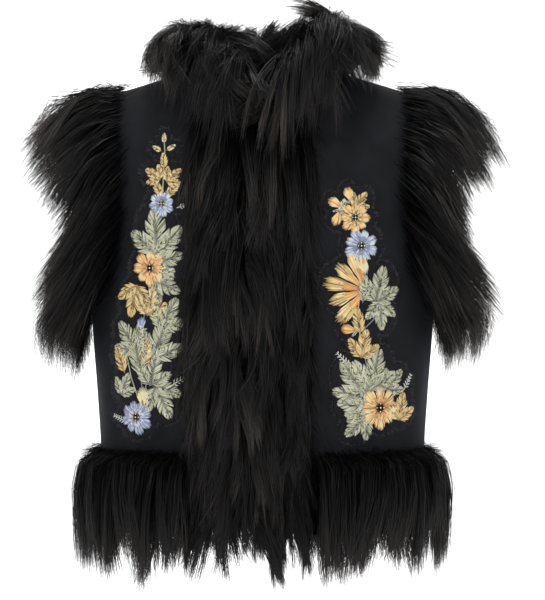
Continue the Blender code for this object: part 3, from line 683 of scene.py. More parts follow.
# The lightest tones, on a few locks, also stand in for painted sheen
tone_tint = colour_ramp(
    dyed_fur, tone, [(0.0, "#434347"), (0.55, "#5b5a5c"), (0.8, "#8d8782"), (1.0, "#fff4e6")]
)
tip_gloss = add_node(dyed_fur, "ShaderNodeMapRange", {"Value": along_hair}, To_Min=0.02, To_Max=0.30)
tone_gloss = add_node(dyed_fur, "ShaderNodeMapRange", {"Value": tone}, To_Min=0.35)
gloss = add_node(
    dyed_fur,
    "ShaderNodeMath",
    {0: tip_gloss.outputs["Result"], 1: tone_gloss.outputs["Result"]},
    operation="MULTIPLY",
)
fur_colour = multiplied(dyed_fur, root_shade_and_tip_tint, tone_tint)
dyed_fur.node_tree.links.new(gloss.outputs["Value"], shader.inputs["Specular IOR Level"])
dyed_fur.node_tree.links.new(fur_colour, shader.inputs["Base Color"])

# %% [markdown]
# ### Hem band
# The band is sewn to the cloth along its top edge, and its hair hides the cloth's own edge. Hairs rooted
# higher lie on the outside, so a hair's height of root also decides how far out it hangs.

# %% Line of the hem
HEM_START_X = 0.078
HEM_END_X = 0.0545
HEM_TOP, HEM_LOW_ROOT = -0.442, -0.514
HEM_TIP = -0.574
HEM_SWELL = 0.040
HEM_HAIRS, HEM_LOCKS, HEM_TUFTS = 13800, 620, 66
HEM_SAMPLES, HEM_STEPS = 361, 721


def even_shares(points, count):
    """Shares of a line's point numbers at equal steps along its length."""
    lengths = np.concatenate([[0], np.cumsum(np.linalg.norm(np.diff(points, axis=0), axis=1))])
    wanted = np.linspace(0, lengths[-1], count)
    return np.interp(wanted, lengths, np.arange(len(points)))


hem_first = float(turn_of(-HEM_START_X, HEM_HEIGHT))
hem_last = float(turn_of(HEM_END_X, HEM_HEIGHT)) - 2 * math.pi
fine_turns = np.linspace(hem_first, hem_last, HEM_SAMPLES)
fine_line = on_cloth(fine_turns, HEM_HEIGHT, 0.03)
hem_length = np.linalg.norm(np.diff(fine_line, axis=0), axis=1).sum()
hem_turns = np.interp(even_shares(fine_line, HEM_STEPS), np.arange(HEM_SAMPLES), fine_turns)
print("hem", round(float(hem_length), 3), "m round")


def hem_turn(share):
    """The turn at a share of the hem's length, which may run a little past its ends."""
    inside = np.clip(share, 0, 1)
    past_ends = (share - inside) * hem_length / -0.125
    return np.interp(inside, np.linspace(0, 1, HEM_STEPS), hem_turns) + past_ends


# %% [markdown]
# The hem's hair hangs in broad locks that keep together until near their tips, where tufts draw in to
# points. Its tips end unevenly, as cut pelts do.

# %% Hair of the hem
def hem_hairs(rng, count):
    """The hair of the band, rooted over the band's whole height."""
    share = rng.uniform(0.002, 0.998, count)
    root = HEM_TOP + (HEM_LOW_ROOT - HEM_TOP) * rng.uniform(0, 1, count) ** 1.3
    root += np.abs(rng.normal(0, 0.0025, count)) * (root > HEM_TOP - 0.01)
    roots = np.stack([share * hem_length, root], axis=-1)
    to_lock, to_tuft, lock, tuft = gather(rng, roots, HEM_LOCKS, HEM_TUFTS, (1.0, 0.45))
    u = ALONG[None]
    draw = rng.uniform(0.45, 1.0, count)[:, None] * u**2.4
    draw_tuft = rng.uniform(0.35, 0.8, HEM_LOCKS)[lock][:, None] * u**3.6
    lean = rng.normal(0, 0.009, HEM_TUFTS)[tuft] + rng.normal(-0.002, 0.006, HEM_LOCKS)[lock]
    along = roots[:, :1] + to_lock[:, :1] * draw + to_tuft[:, :1] * draw_tuft + lean[:, None] * u**1.4
    along += waves(rng, lock, 0.0035)
    tip = HEM_TIP + rng.uniform(-0.012, 0.012, HEM_TUFTS)[tuft] + rng.uniform(-0.008, 0.010, HEM_LOCKS)[lock]
    uneven = rng.normal(0, 0.006, count) + np.minimum(0.030, np.abs(to_tuft[:, 0]) * 1.2)
    tip += uneven + (root - HEM_TOP) * 0.12
    depth = 1 - (HEM_TOP - root) / (HEM_TOP - HEM_LOW_ROOT)
    height = root[:, None] + (tip - root)[:, None] * u**1.08
    hump = (0.007 * depth * rng.uniform(0.3, 1.2, count))[:, None]
    height += hump * np.sin(math.pi * np.minimum(1, 2.5 * u))
    layer = 0.6 * rng.uniform(0.6, 1.06, HEM_LOCKS)[lock] + 0.4 * rng.uniform(0.6, 1.04, count)
    swell = (0.35 + 0.65 * depth) * HEM_SWELL * layer
    lift = 0.0006 + swell[:, None] * (1 - np.exp(-6.5 * u)) * (1 - 0.36 * u**1.5)
    turn = hem_turn(np.clip(along / hem_length, -0.012, 1.012))
    outward = face_out(turn, np.full_like(turn, -0.48))
    spines = stray(rng, on_cloth(turn, height, lift), outward, 0.0036, 0.12)
    return guard_hairs(rng, spines, outward, lock, 0.22, 0.50)


# %% [markdown]
# A dark mass fills the band. It swells out under the hair and ends above its tips, so light shows between
# the locks there. Short hairs hide the seam along the top.

# %% Hem fur
rng = np.random.default_rng(7)
HEM_MASS_COLUMNS = 180
mass_share = np.linspace(0.001, 0.999, HEM_MASS_COLUMNS)
mass_turn = hem_turn(mass_share)
wobble = 1 + 0.10 * np.sin(mass_share * 310) + 0.06 * np.sin(mass_share * 131 + 2)
# height and lift of the inner mass: down its outside, then up behind
MASS_PROFILE = [(-0.445, 0.0015), (-0.452, 0.009), (-0.47, 0.018), (-0.505, 0.020), (-0.532, 0.014)]
MASS_PROFILE += [(-0.532, 0.006), (-0.520, 0.0016), (-0.48, 0.0012)]
rows = [on_cloth(mass_turn, height, lift * (wobble if lift > 0.01 else 1)) for height, lift in MASS_PROFILE]
hem_mass = np.stack(rows, axis=1)
EDGE_HAIRS = 2100
edge_turn = hem_turn(rng.uniform(-0.01, 1.01, EDGE_HAIRS))
edge_height = HEM_TOP + np.abs(rng.normal(0, 0.004, EDGE_HAIRS)) - 0.004
away = face_out(edge_turn, edge_height)
flow = unit(away + np.array([0.0, 0.0, -0.35]))
hem_edge = downy_edge(rng, on_cloth(edge_turn, edge_height, 0.001), flow, away, 0.026, 0.55)
fur_piece("hem_band_fur", "fur_hem", [hem_hairs(rng, HEM_HAIRS), hem_edge], hem_mass)

# %% [markdown]
# ### Armhole fur
# A strip of the same fur runs round each armhole. Over the shoulder its hair stands out over the arm and
# droops, on the front and back it sweeps out and down, and under the arm it hangs.

# %% Line of the armhole
# station (0 at the shoulder point, 1 at the underarm), out, down, forward, droop, length, over, under
CAP = np.array([
    (0.00, 0.90, 0.35, 0.00, 0.46, 0.110, 0.019, 0.004),
    (0.20, 0.82, 0.44, 0.16, 0.34, 0.108, 0.027, 0.004),
    (0.36, 0.64, 0.68, 0.24, 0.20, 0.104, 0.032, 0.003),
    (0.52, 0.76, 0.66, 0.26, 0.12, 0.138, 0.036, 0.006),
    (0.68, 0.64, 0.72, 0.34, 0.07, 0.136, 0.026, 0.020),
    (0.84, 0.34, 0.84, 0.40, 0.04, 0.106, 0.006, 0.054),
    (1.00, 0.05, 0.99, 0.00, 0.02, 0.098, 0.000, 0.066),
])
CAP_SAMPLES = 480
CAP_HAIRS, CAP_LOCKS, CAP_TUFTS = 10600, 520, 52


def cap_edge(share):
    """Place on the armhole's edge, from the shoulder point down the front and up the back."""
    share = np.asarray(share) % 1.0
    station = np.where(share <= 0.5, 2 * share, 2 * (1 - share))
    front, behind = armhole_places(1 - station, False), armhole_places(1 - station, True)
    return np.where((share > 0.5)[:, None], behind, front), station


cap_share = np.linspace(0, 1, CAP_SAMPLES + 1)
cap_place, cap_station = cap_edge(cap_share)
cap_line = on_cloth(cap_place[:, 0], cap_place[:, 1])
cap_length = np.linalg.norm(np.diff(cap_line, axis=0), axis=1).sum()
cap_share = np.interp(even_shares(cap_line, CAP_SAMPLES + 1), np.arange(CAP_SAMPLES + 1), cap_share)
cap_place, cap_station = cap_edge(cap_share)
after, before = cap_edge(cap_share + 0.004)[0], cap_edge(cap_share - 0.004)[0]
cap_along = unit(on_cloth(after[:, 0], after[:, 1]) - on_cloth(before[:, 0], before[:, 1]))
cap_out = face_out(cap_place[:, 0], cap_place[:, 1] - np.where(cap_station < 0.02, 0.0004, 0))
cap_past = unit(np.cross(cap_out, cap_along))
cap_values = smooth(CAP[:, 0], CAP[:, 1:], cap_station)
cap_forward = np.where(cap_share > 0.5, 1, -1) * cap_values[:, 2]
cap_hair = unit(np.stack([cap_values[:, 0], cap_forward, -cap_values[:, 1]], axis=-1))
cap_hair = unit(cap_hair + cap_out * np.maximum(0, 0.12 - (cap_hair * cap_out).sum(-1, keepdims=True)))
cap_root = on_cloth(cap_place[:, 0], cap_place[:, 1], 0.0008)
CAP_ROWS = dict(root=cap_root, hair=cap_hair, out=cap_out, past=cap_past, along=cap_along, values=cap_values)
print("armhole", round(float(cap_length), 3), "m round")


def cap_at(key, share):
    """A row of the armhole's data at these shares of its length, which wrap round."""
    rows = CAP_ROWS[key]
    at = (share % 1.0) * CAP_SAMPLES
    k = np.minimum(at.astype(int), CAP_SAMPLES - 1)
    t = (at - k)[..., None]
    return rows[k] * (1 - t) + rows[k + 1] * t


# %% [markdown]
# A hair starts on the armhole's edge, follows the way the fur lies there and droops with its length. How
# deep it lies in the fur decides how far it stands off on either side.

# %% Form of the armhole hair
def cap_points(share, u, depth, inset, length):
    """Points of armhole hairs. depth runs from the side by the arm (0) to the side that faces away (1)."""
    values = cap_at("values", share)
    out, hair = cap_at("out", share), unit(cap_at("hair", share))
    droop, swell_over, swell_under = values[..., 3:4], values[..., 5:6], values[..., 6:7]
    u = np.broadcast_to(u, share.shape)[..., None]
    run = u * values[..., 4:5] * length[..., None]
    fold_back = cap_at("past", share) * inset[..., None] * (1 - u) ** 2
    at = cap_at("root", share) - fold_back + hair * run
    at += out * 0.003 * depth[..., None] ** 2 * np.minimum(1, 10 * u)
    at[..., 2:] -= droop * run * u
    flow = hair.copy()
    flow[..., 2:] -= 2 * droop * u
    lift = unit(np.cross(cap_at("along", share), unit(flow)))
    profile = np.interp(u, [0, 0.1, 0.36, 0.72, 1], [0.10, 0.6, 1.0, 0.95, 0.7])
    swelling = lift * (depth[..., None] * swell_over - (1 - depth[..., None]) * swell_under) * profile
    into_cloth = np.minimum(0, (swelling * out).sum(-1, keepdims=True)) * (u < 0.2)
    return at + swelling - out * into_cloth, lift


# %% [markdown]
# The trim's own weight draws its hair down along the armhole, in front and behind. The same lines, with
# sides swapped, serve the other arm.

# %% Hair and mass of an armhole
CAP_FALL = 0.040
CAP_MASS_COLUMNS = 160
# share of the length and depth of the inner mass: down over it, then back under it
CAP_MASS = [(0.0, 0.5), (0.08, 0.50), (0.18, 0.48), (0.28, 0.42)]
CAP_MASS += [(0.28, 0.38), (0.18, 0.30), (0.08, 0.25), (0.0, 0.3)]


def cap_fur(name, node, side, rng):
    """The fur of one armhole. side is 1 on the wearer's left."""
    count = CAP_HAIRS
    share = rng.uniform(0, 1, count)
    # The top is thick, for the hair there falls away to both sides
    share = np.where(rng.uniform(0, 1, count) < 0.08, rng.normal(0, 0.03, count) % 1.0, share)
    inset = rng.uniform(-0.003, 0.009, count) + np.abs(rng.normal(0, 0.004, count))
    inset += np.where(rng.uniform(0, 1, count) < 0.3, np.abs(rng.normal(0, 0.010, count)), 0)
    roots = np.stack([share * cap_length, inset], axis=-1)
    to_lock, to_tuft, lock, tuft = gather(rng, roots, CAP_LOCKS, CAP_TUFTS, (1.0, 0.8))
    u = ALONG[None]
    draw = rng.uniform(0.2, 0.85, count)[:, None] * u**2.0
    draw_tuft = rng.uniform(0.2, 0.75, CAP_LOCKS)[lock][:, None] * u**2.8
    lean = rng.normal(0, 0.013, CAP_TUFTS)[tuft] + rng.normal(0, 0.008, CAP_LOCKS)[lock]
    aside = to_lock[:, :1] * draw + to_tuft[:, :1] * draw_tuft + lean[:, None] * u**1.4
    aside = aside + waves(rng, lock, 0.004)
    # The fall is greatest halfway down the front and the back
    station = 1 - np.abs(1 - 2 * share)
    fall = CAP_FALL * np.interp(station, [0, 0.12, 0.34, 0.8, 1], [0, 0.2, 1, 1, 0])
    fall = fall * np.where(share < 0.5, 1, -1) * rng.uniform(0.6, 1.2, count)
    shares = share[:, None] + (aside + fall[:, None] * u**0.8) / cap_length
    layer = 0.7 * rng.uniform(0, 1, CAP_LOCKS)[lock] + 0.3 * rng.uniform(0, 1, count)
    depth = np.where(rng.uniform(0, 1, CAP_LOCKS)[lock] < 0.45, 0.75 + 0.3 * layer, layer)
    length = rng.uniform(0.78, 1.0, CAP_TUFTS)[tuft] * rng.uniform(0.84, 1.05, CAP_LOCKS)[lock]
    length = length * rng.uniform(0.8, 1.06, count) * (1 - np.minimum(0.2, np.abs(to_tuft[:, 0]) * 9))
    held = [np.repeat(values[:, None], HAIR_STEPS + 1, 1) for values in (depth, inset, length)]
    spines, lift = cap_points(shares, u, *held)
    sway = rng.normal(0, 0.007, (CAP_TUFTS, 3))[tuft][:, None] * (ALONG**1.5)[None, :, None]
    facing = np.where((depth > 0.5)[:, None, None], lift, -lift)
    spines = stray(rng, spines + sway, facing, 0.0052, 0.10)
    spines[..., 0] *= side
    facing[..., 0] *= side
    hairs = guard_hairs(rng, spines, facing, lock)
    at = rng.uniform(0, 1, EDGE_HAIRS)
    past, out, flow = cap_at("past", at), cap_at("out", at), unit(cap_at("hair", at))
    roots = cap_at("root", at) - past * (0.008 + np.abs(rng.normal(0, 0.006, (EDGE_HAIRS, 1))))
    for vectors in (roots, flow, out):
        vectors[:, 0] *= side
    edge = downy_edge(rng, roots, flow, out, 0.026, 0.5)
    ring = np.append(np.linspace(0, 1, CAP_MASS_COLUMNS, endpoint=False), 0)
    ones = np.ones_like(ring)
    rows = [cap_points(ring, along, depth_of * ones, 0.003 * ones, ones)[0] for along, depth_of in CAP_MASS]
    mass = np.stack(rows, axis=1)
    mass[..., 0] *= side
    fur_piece(name, node, [hairs, edge], mass)


cap_fur("right_armhole_fur", "fur_armhole_right", -1, np.random.default_rng(31))
cap_fur("left_armhole_fur", "fur_armhole_left", 1, np.random.default_rng(32))

# %% [markdown]
# ### Front edges
# A strip of fur runs down each front edge. Its hairs are rooted all the way down, so each one falls over
# the roots of those below, like thatch. On the wider right strip a parting runs down the middle: hairs on
# the armhole side of it sweep outwards, and the rest fall straight.

# %% Front edge fur
FRONT_TOP, FRONT_LOW_ROOT, FRONT_TIP = -0.052, -0.500, -0.578
PARTING_X = -0.030
FRONT_EDGE_HAIRS = 900
FRONT_MASS_ROWS, FRONT_MASS_COLUMNS = 70, 12


def front_fur(name, node, first_x, last_x, swell, count, locks, tufts, sweep_of, span, rng):
    """The fur of one front edge, between two distances from the centre. span is how far its tones vary."""
    x = rng.uniform(first_x, last_x, count)
    root = rng.uniform(FRONT_LOW_ROOT, FRONT_TOP, count)
    to_lock, to_tuft, lock, tuft = gather(rng, np.stack([x, root], axis=-1), locks, tufts, (1.0, 0.40))
    u = ALONG[None]
    length = rng.uniform(0.085, 0.130, tufts)[tuft] * rng.uniform(0.85, 1.15, locks)[lock]
    tip = np.maximum(root - length, FRONT_TIP + rng.uniform(-0.012, 0.020, locks)[lock])
    tip = np.where(root < -0.46, FRONT_TIP + rng.uniform(-0.012, 0.028, locks)[lock], tip)
    draw = rng.uniform(0.5, 1.0, count)[:, None] * u**1.5
    draw_tuft = rng.uniform(0.2, 0.8, locks)[lock][:, None] * u**1.9
    sweep = sweep_of(x) + rng.normal(0, 0.010, tufts)[tuft] + rng.normal(0, 0.004, locks)[lock]
    line_x = x[:, None] + to_lock[:, :1] * draw + to_tuft[:, :1] * draw_tuft + sweep[:, None] * u**1.3
    line_x += waves(rng, lock, 0.0050) + waves(rng, tuft, 0.0035)
    past_edge = 0.004 + 0.003 * rng.uniform(0, 1, (count, 1))
    past_edge = past_edge + 0.010 * (rng.uniform(0, 1, (count, 1)) < 0.10)
    line_x = np.clip(line_x, first_x - past_edge, last_x + past_edge)
    height = root[:, None] + (tip - root)[:, None] * u
    height = height + (to_lock[:, 1:] * draw + to_tuft[:, 1:] * draw_tuft) * 0.4
    middle = 1 - np.abs(np.clip(2 * (line_x - first_x) / (last_x - first_x) - 1, -1, 1)) ** 2.6
    crown = np.clip(0.3 + 2.5 * (FRONT_TOP - height) / 0.5, 0.3, 1)
    layer = 0.45 * rng.uniform(0, 1, tufts)[tuft] + 0.35 * rng.uniform(0, 1, locks)[lock]
    layer = (layer + 0.2 * rng.uniform(0, 1, count))[:, None]
    lift = 0.0012 + swell * (0.2 + 0.8 * middle) * crown * (0.25 + 0.85 * layer) * (1 - np.exp(-5 * u))
    turn = turn_of(line_x, height)
    outward = face_out(turn, np.clip(height, -0.5, -0.09))
    spines = stray(rng, on_cloth(turn, height, lift), outward, 0.0020)
    hairs = guard_hairs(rng, spines, outward, lock, span)
    # The inner mass runs across on its outside, then back on the cloth
    there, back = np.linspace(0.02, 0.98, FRONT_MASS_COLUMNS), np.linspace(0.98, 0.02, FRONT_MASS_COLUMNS)
    shares = np.concatenate([there, back])
    outside = np.arange(len(shares)) < FRONT_MASS_COLUMNS
    grid_x, grid_z = np.meshgrid(
        first_x + (last_x - first_x) * shares, np.linspace(FRONT_TOP - 0.02, HEM_HEIGHT, FRONT_MASS_ROWS)
    )
    bulge = 1 - np.abs(2 * shares - 1) ** 3
    raised = 0.002 + swell * 0.30 * bulge * np.clip(0.3 + 2.5 * (FRONT_TOP - grid_z) / 0.5, 0.3, 1)
    mass = on_cloth(turn_of(grid_x, grid_z), grid_z, np.where(outside, raised, 0.0011))
    beside = np.abs(rng.normal(0, 0.003, FRONT_EDGE_HAIRS))
    edge_x = np.where(rng.uniform(0, 1, FRONT_EDGE_HAIRS) < 0.5, first_x - beside, last_x + beside)
    edge_z = rng.uniform(FRONT_LOW_ROOT + 0.05, FRONT_TOP, FRONT_EDGE_HAIRS)
    flow = np.tile([0.0, 0.0, -1.0], (FRONT_EDGE_HAIRS, 1))
    flow[:, 0] = np.sign(edge_x - (first_x + last_x) / 2) * 0.35
    at = turn_of(edge_x, edge_z)
    edge = downy_edge(rng, on_cloth(at, edge_z, 0.001), flow, face_out(at, edge_z), 0.030, 0.3)
    fur_piece(name, node, [hairs, edge], mass)


def right_sweep(x):
    """How far hairs rooted at x sweep sideways on the right front."""
    return np.where(x < PARTING_X, -0.024 * (0.4 + (PARTING_X - x) / 0.046), 0.004)


def left_sweep(x):
    """The same for the left front, where all hairs fall nearly straight."""
    return np.full_like(x, 0.003)


# piece, its solid, edges, swell, hairs, locks, tufts, sweep, span, seed
for *trim, seed in (
    ("right_front_fur", "fur_front_right", -0.0765, 0.0210, 0.031, 12200, 300, 62, right_sweep, 0.88, 11),
    # The left strip's small span keeps its hair dark: painted shade for the deep shade it lies in beside the
    # right strip
    ("left_front_fur", "fur_front_left", 0.0225, 0.0520, 0.022, 5300, 130, 30, left_sweep, 0.50, 12),
):
    front_fur(*trim, np.random.default_rng(seed))

# %% [markdown]
# ### Collar
# The collar is a strip of fur that stands on the neckline. Its hair rises from the inner edge, rolls over
# the top and falls outwards, so each hair follows a stretch of the roll's outline. Hairs on the inner face
# lie along the neck, and long ones at the front fall over the opening.

# %% Line of the collar
# station in degrees from the centre front, top on the right, top on the left, reach
COLLAR = np.array([
    (0, -0.022, -0.016, 0.034),
    (20, 0.014, 0.024, 0.044),
    (38, 0.045, 0.060, 0.052),
    (55, 0.049, 0.061, 0.056),
    (72, 0.047, 0.056, 0.056),
    (90, 0.046, 0.053, 0.054),
    (135, 0.062, 0.070, 0.047),
    (180, 0.063, 0.063, 0.044),
])
# station, height the hair falls to on the right and on the left
COLLAR_FALL = np.array([
    (0, -0.125, -0.125),
    (20, -0.112, -0.100),
    (38, -0.084, -0.050),
    (55, -0.034, -0.028),
    (72, -0.024, -0.026),
    (90, -0.020, -0.022),
    (180, -0.030, -0.030),
])
COLLAR_AXIS_Y = -0.008
COLLAR_SAMPLES = 360
COLLAR_HAIRS, COLLAR_INNER_HAIRS, COLLAR_LOCKS, COLLAR_TUFTS = 11000, 2100, 400, 66

first_angle = -math.degrees(math.asin((OPENING_X - OPENING_GAP) / NECK_HALF_WIDTH))
last_angle = 360 - math.degrees(math.asin((OPENING_X + OPENING_GAP) / NECK_HALF_WIDTH))
angles = np.linspace(first_angle, last_angle, COLLAR_SAMPLES + 1)
collar_station = 180 - np.abs(180 - angles)
collar_side = np.where(angles < 180, -1, 1)
neck_across = NECK_HALF_WIDTH * np.sin(np.radians(collar_station))
front_line = neck_places(np.abs(neck_across), FRONT_NECK_DROP, False)
back_line = neck_places(np.abs(neck_across), BACK_NECK_DROP, True)
neck_line = np.where((collar_station > 90)[:, None], back_line, front_line)
seam = on_cloth(neck_line[:, 0], neck_line[:, 1])
seam[:, 0] *= np.sign(neck_across) * collar_side
even = even_shares(seam, COLLAR_SAMPLES + 1)
seam = np.stack([np.interp(even, np.arange(len(seam)), seam[:, i]) for i in range(3)], axis=-1)
collar_station = np.interp(even, np.arange(len(angles)), np.clip(collar_station, 0, 180))
collar_side = np.interp(even, np.arange(len(angles)), collar_side)
collar_length = np.linalg.norm(np.diff(seam, axis=0), axis=1).sum()
collar_values = smooth(COLLAR[:, 0], COLLAR[:, 1:], collar_station)
collar_top = np.where(collar_side < 0, collar_values[:, 0], collar_values[:, 1])
collar_rise = collar_top - seam[:, 2]
collar_reach = collar_values[:, 2]
collar_away = unit(np.stack([seam[:, 0], seam[:, 1] - COLLAR_AXIS_Y, np.zeros(len(seam))], axis=-1))

# %% [markdown]
# Across the collar, fur stands up from the neckline, rolls over and hangs outside. One outline serves all
# round, stretched to the height and reach that the collar has at each station.

# %% Roll of the collar
# The roll's outline: share of its length, out as a share of reach, up as a share of rise
ROLL = np.array([
    (0.00, -0.02, 0.04),
    (0.12, -0.12, 0.36),
    (0.26, -0.10, 0.76),
    (0.36, 0.12, 0.99),
    (0.50, 0.52, 1.02),
    (0.64, 0.88, 0.80),
    (0.78, 1.02, 0.46),
    (0.90, 0.98, 0.14),
    (1.00, 0.90, -0.14),
    (1.15, 0.90, -0.52),
])


collar_fall = smooth(COLLAR_FALL[:, 0], COLLAR_FALL[:, 1:], collar_station)
collar_fall = np.where(collar_side < 0, collar_fall[:, 0], collar_fall[:, 1])
# The share of the outline at which the falling side reaches that height
falling = ROLL[4:]
collar_end = np.interp((seam[:, 2] - collar_fall) / collar_rise, -falling[:, 2], falling[:, 0])
COLLAR_ROWS = np.column_stack([seam, collar_away, collar_reach, collar_rise, collar_station, collar_end])
print("collar", round(float(collar_length), 3), "m round")


def collar_at(share):
    """Rows of seam (3), away (3), reach, rise, station and end at these shares of the collar's length."""
    at = np.clip(share, 0, 1) * COLLAR_SAMPLES
    k = np.minimum(at.astype(int), COLLAR_SAMPLES - 1)
    t = (at - k)[..., None]
    return COLLAR_ROWS[k] * (1 - t) + COLLAR_ROWS[k + 1] * t


def cloth_top(points):
    """The height of the cloth under these points near the neck."""
    back = points[..., 1] > 0
    low = np.full(points.shape[:-1], -0.30)
    high = shoulder_height(points[..., 0])
    for _ in range(16):
        middle = (low + high) / 2
        found = on_cloth(turn_of(points[..., 0], middle, back), climb_of(points[..., 0], middle))
        higher = np.abs(found[..., 1]) > np.abs(points[..., 1])
        low, high = np.where(higher, middle, low), np.where(higher, high, middle)
    return low


def roll_points(share, w, fullness):
    """Points at w along the roll's outline, drawn in towards its middle where fullness is under 1."""
    row = collar_at(share)
    out_up = smooth(ROLL[:, 0], ROLL[:, 1:], w)
    out = 0.42 + (out_up[..., 0] - 0.42) * fullness
    up = 0.5 + (out_up[..., 1] - 0.5) * fullness
    points = row[..., :3] + unit(row[..., 3:6]) * (out * row[..., 6])[..., None]
    points[..., 2] += up * row[..., 7]
    return points


def above_cloth(points, clearance):
    """The same points, raised where they would sink in the cloth."""
    points[..., 2] = np.maximum(points[..., 2], cloth_top(points) + clearance)
    return points


def turned_back(share):
    """Shares that run past an end of the collar turn back from it."""
    return 1 - np.abs(1 - np.abs(share))


# %% [markdown]
# Most hairs follow the roll and fall outside it. They gather in locks like all the others, and whole locks
# stand off the roll or lie close to it, so its outline is broken.

# %% Outer hair of the collar
rng = np.random.default_rng(21)
count = COLLAR_HAIRS
share = rng.uniform(0.0, 1.0, count)
first_w = rng.uniform(0.12, 0.78, count)
roots = np.stack([share * collar_length, first_w * 0.17], axis=-1)
to_lock, to_tuft, lock, tuft = gather(rng, roots, COLLAR_LOCKS, COLLAR_TUFTS, (1.0, 0.5))
u = ALONG[None]
run = rng.uniform(0.26, 0.50, COLLAR_TUFTS)[tuft] * rng.uniform(0.75, 1.15, COLLAR_LOCKS)[lock]
last_w = collar_at(share)[:, 9] - 0.10 * rng.uniform(-0.3, 1, COLLAR_LOCKS)[lock]
last_w = last_w - 0.05 * rng.uniform(0, 1, count)
w = first_w[:, None] + np.minimum(run, np.maximum(0.06, last_w - first_w))[:, None] * u**0.95
draw = rng.uniform(0.3, 0.95, count)[:, None] * u**1.5
draw_tuft = rng.uniform(0.2, 0.8, COLLAR_LOCKS)[lock][:, None] * u**1.9
lean = rng.normal(0, 0.020, COLLAR_TUFTS)[tuft] + rng.normal(0, 0.009, COLLAR_LOCKS)[lock]
aside = to_lock[:, :1] * draw + to_tuft[:, :1] * draw_tuft + lean[:, None] * u**1.3 + waves(rng, lock, 0.005)
shares = turned_back(share[:, None] + aside / collar_length)
layer = 0.5 * rng.uniform(0, 1, COLLAR_TUFTS)[tuft] + 0.5 * rng.uniform(0, 1, COLLAR_LOCKS)[lock]
rise = 0.62 + 0.16 * rng.uniform(0, 1, count) + 0.30 * layer
lift_off = 0.34 * rng.uniform(-0.6, 1, COLLAR_TUFTS)[tuft] + 0.12 * rng.uniform(-1, 1, COLLAR_LOCKS)[lock]
fullness = 0.50 + (rise - 0.50)[:, None] * (1 - np.exp(-2.8 * u)) + lift_off[:, None] * u**2
spines = above_cloth(roll_points(shares, w, fullness), 0.003)
row = collar_at(shares)
core = row[..., :3] + row[..., 3:6] * 0.42 * row[..., 6:7]
core[..., 2] += 0.5 * row[..., 7]
outward = unit(spines - core)
spines = stray(rng, spines, outward, 0.0042, 0.12)
# Painted shade: the hair that faces the neck, and the hair at the front ends of the collar, is made darker
painted_shade = np.interp(first_w, [0.12, 0.30, 0.42], [0.25, 0.5, 1.0])
painted_shade = painted_shade * np.interp(collar_at(share)[:, 8], [10, 34], [0.2, 1.0])
outer_hairs = guard_hairs(rng, spines, outward, lock, shade=painted_shade)


# %% [markdown]
# A standing collar of long fur is never tidy. Some locks leave the roll: they fall over the opening and the
# fronts, cross the neck, flick up, or stand away at the sides.

# %% Loose locks of the collar
LOCK_REST = 0.022


def loose_locks(rng, places, locks, count, spread, lightest):
    """Locks that leave the roll, from between two tops to between two ends, bowed on their way."""
    first_top, last_top, first_end, last_end, bow = np.array(places) / 1000
    lock = rng.integers(0, locks, count)
    at = ((np.arange(locks) + rng.uniform(0, 1, locks)) / locks)[lock][:, None]
    top = first_top * (1 - at) + last_top * at
    top += rng.normal(0, 0.003, (locks, 3))[lock] + rng.normal(0, 0.0022, (count, 3))
    end = first_end * (1 - at) + last_end * at
    length = np.linalg.norm(end - top, axis=-1, keepdims=True)
    end += rng.normal(0, 0.085, (locks, 3))[lock] * length + rng.normal(0, spread, (count, 3))
    # Tips that come down as far as the cloth lie on it, or on the fur of the front edge
    rest = on_cloth(turn_of(end[:, 0], end[:, 2]), end[:, 2], LOCK_REST)
    end[:, 1] = np.where(end[:, 2] < -0.03, np.maximum(end[:, 1], rest[:, 1]), end[:, 1])
    reached = ALONG[None, :, None] * rng.uniform(0.5, 1.0, (count, 1, 1))
    spines = top[:, None] * (1 - reached) + end[:, None] * reached
    spines += bow * 4 * reached * (1 - reached)
    spines += rng.normal(0, 0.004, (locks, 1, 3))[lock] * np.sin(3 * reached)
    facing = np.broadcast_to([0.0, -1.0, 0.2], spines.shape)
    # The lightest locks are lighter brown-grey hair that also stands in for painted sheen
    tone = lightest * np.clip(rng.uniform(0.3, 1.0, locks)[lock] + rng.normal(0, 0.1, count), 0, 1)
    return *ribbons(rng, spines, facing, rng.uniform(0.00042, 0.0007, count)), ribbon_uv(tone)


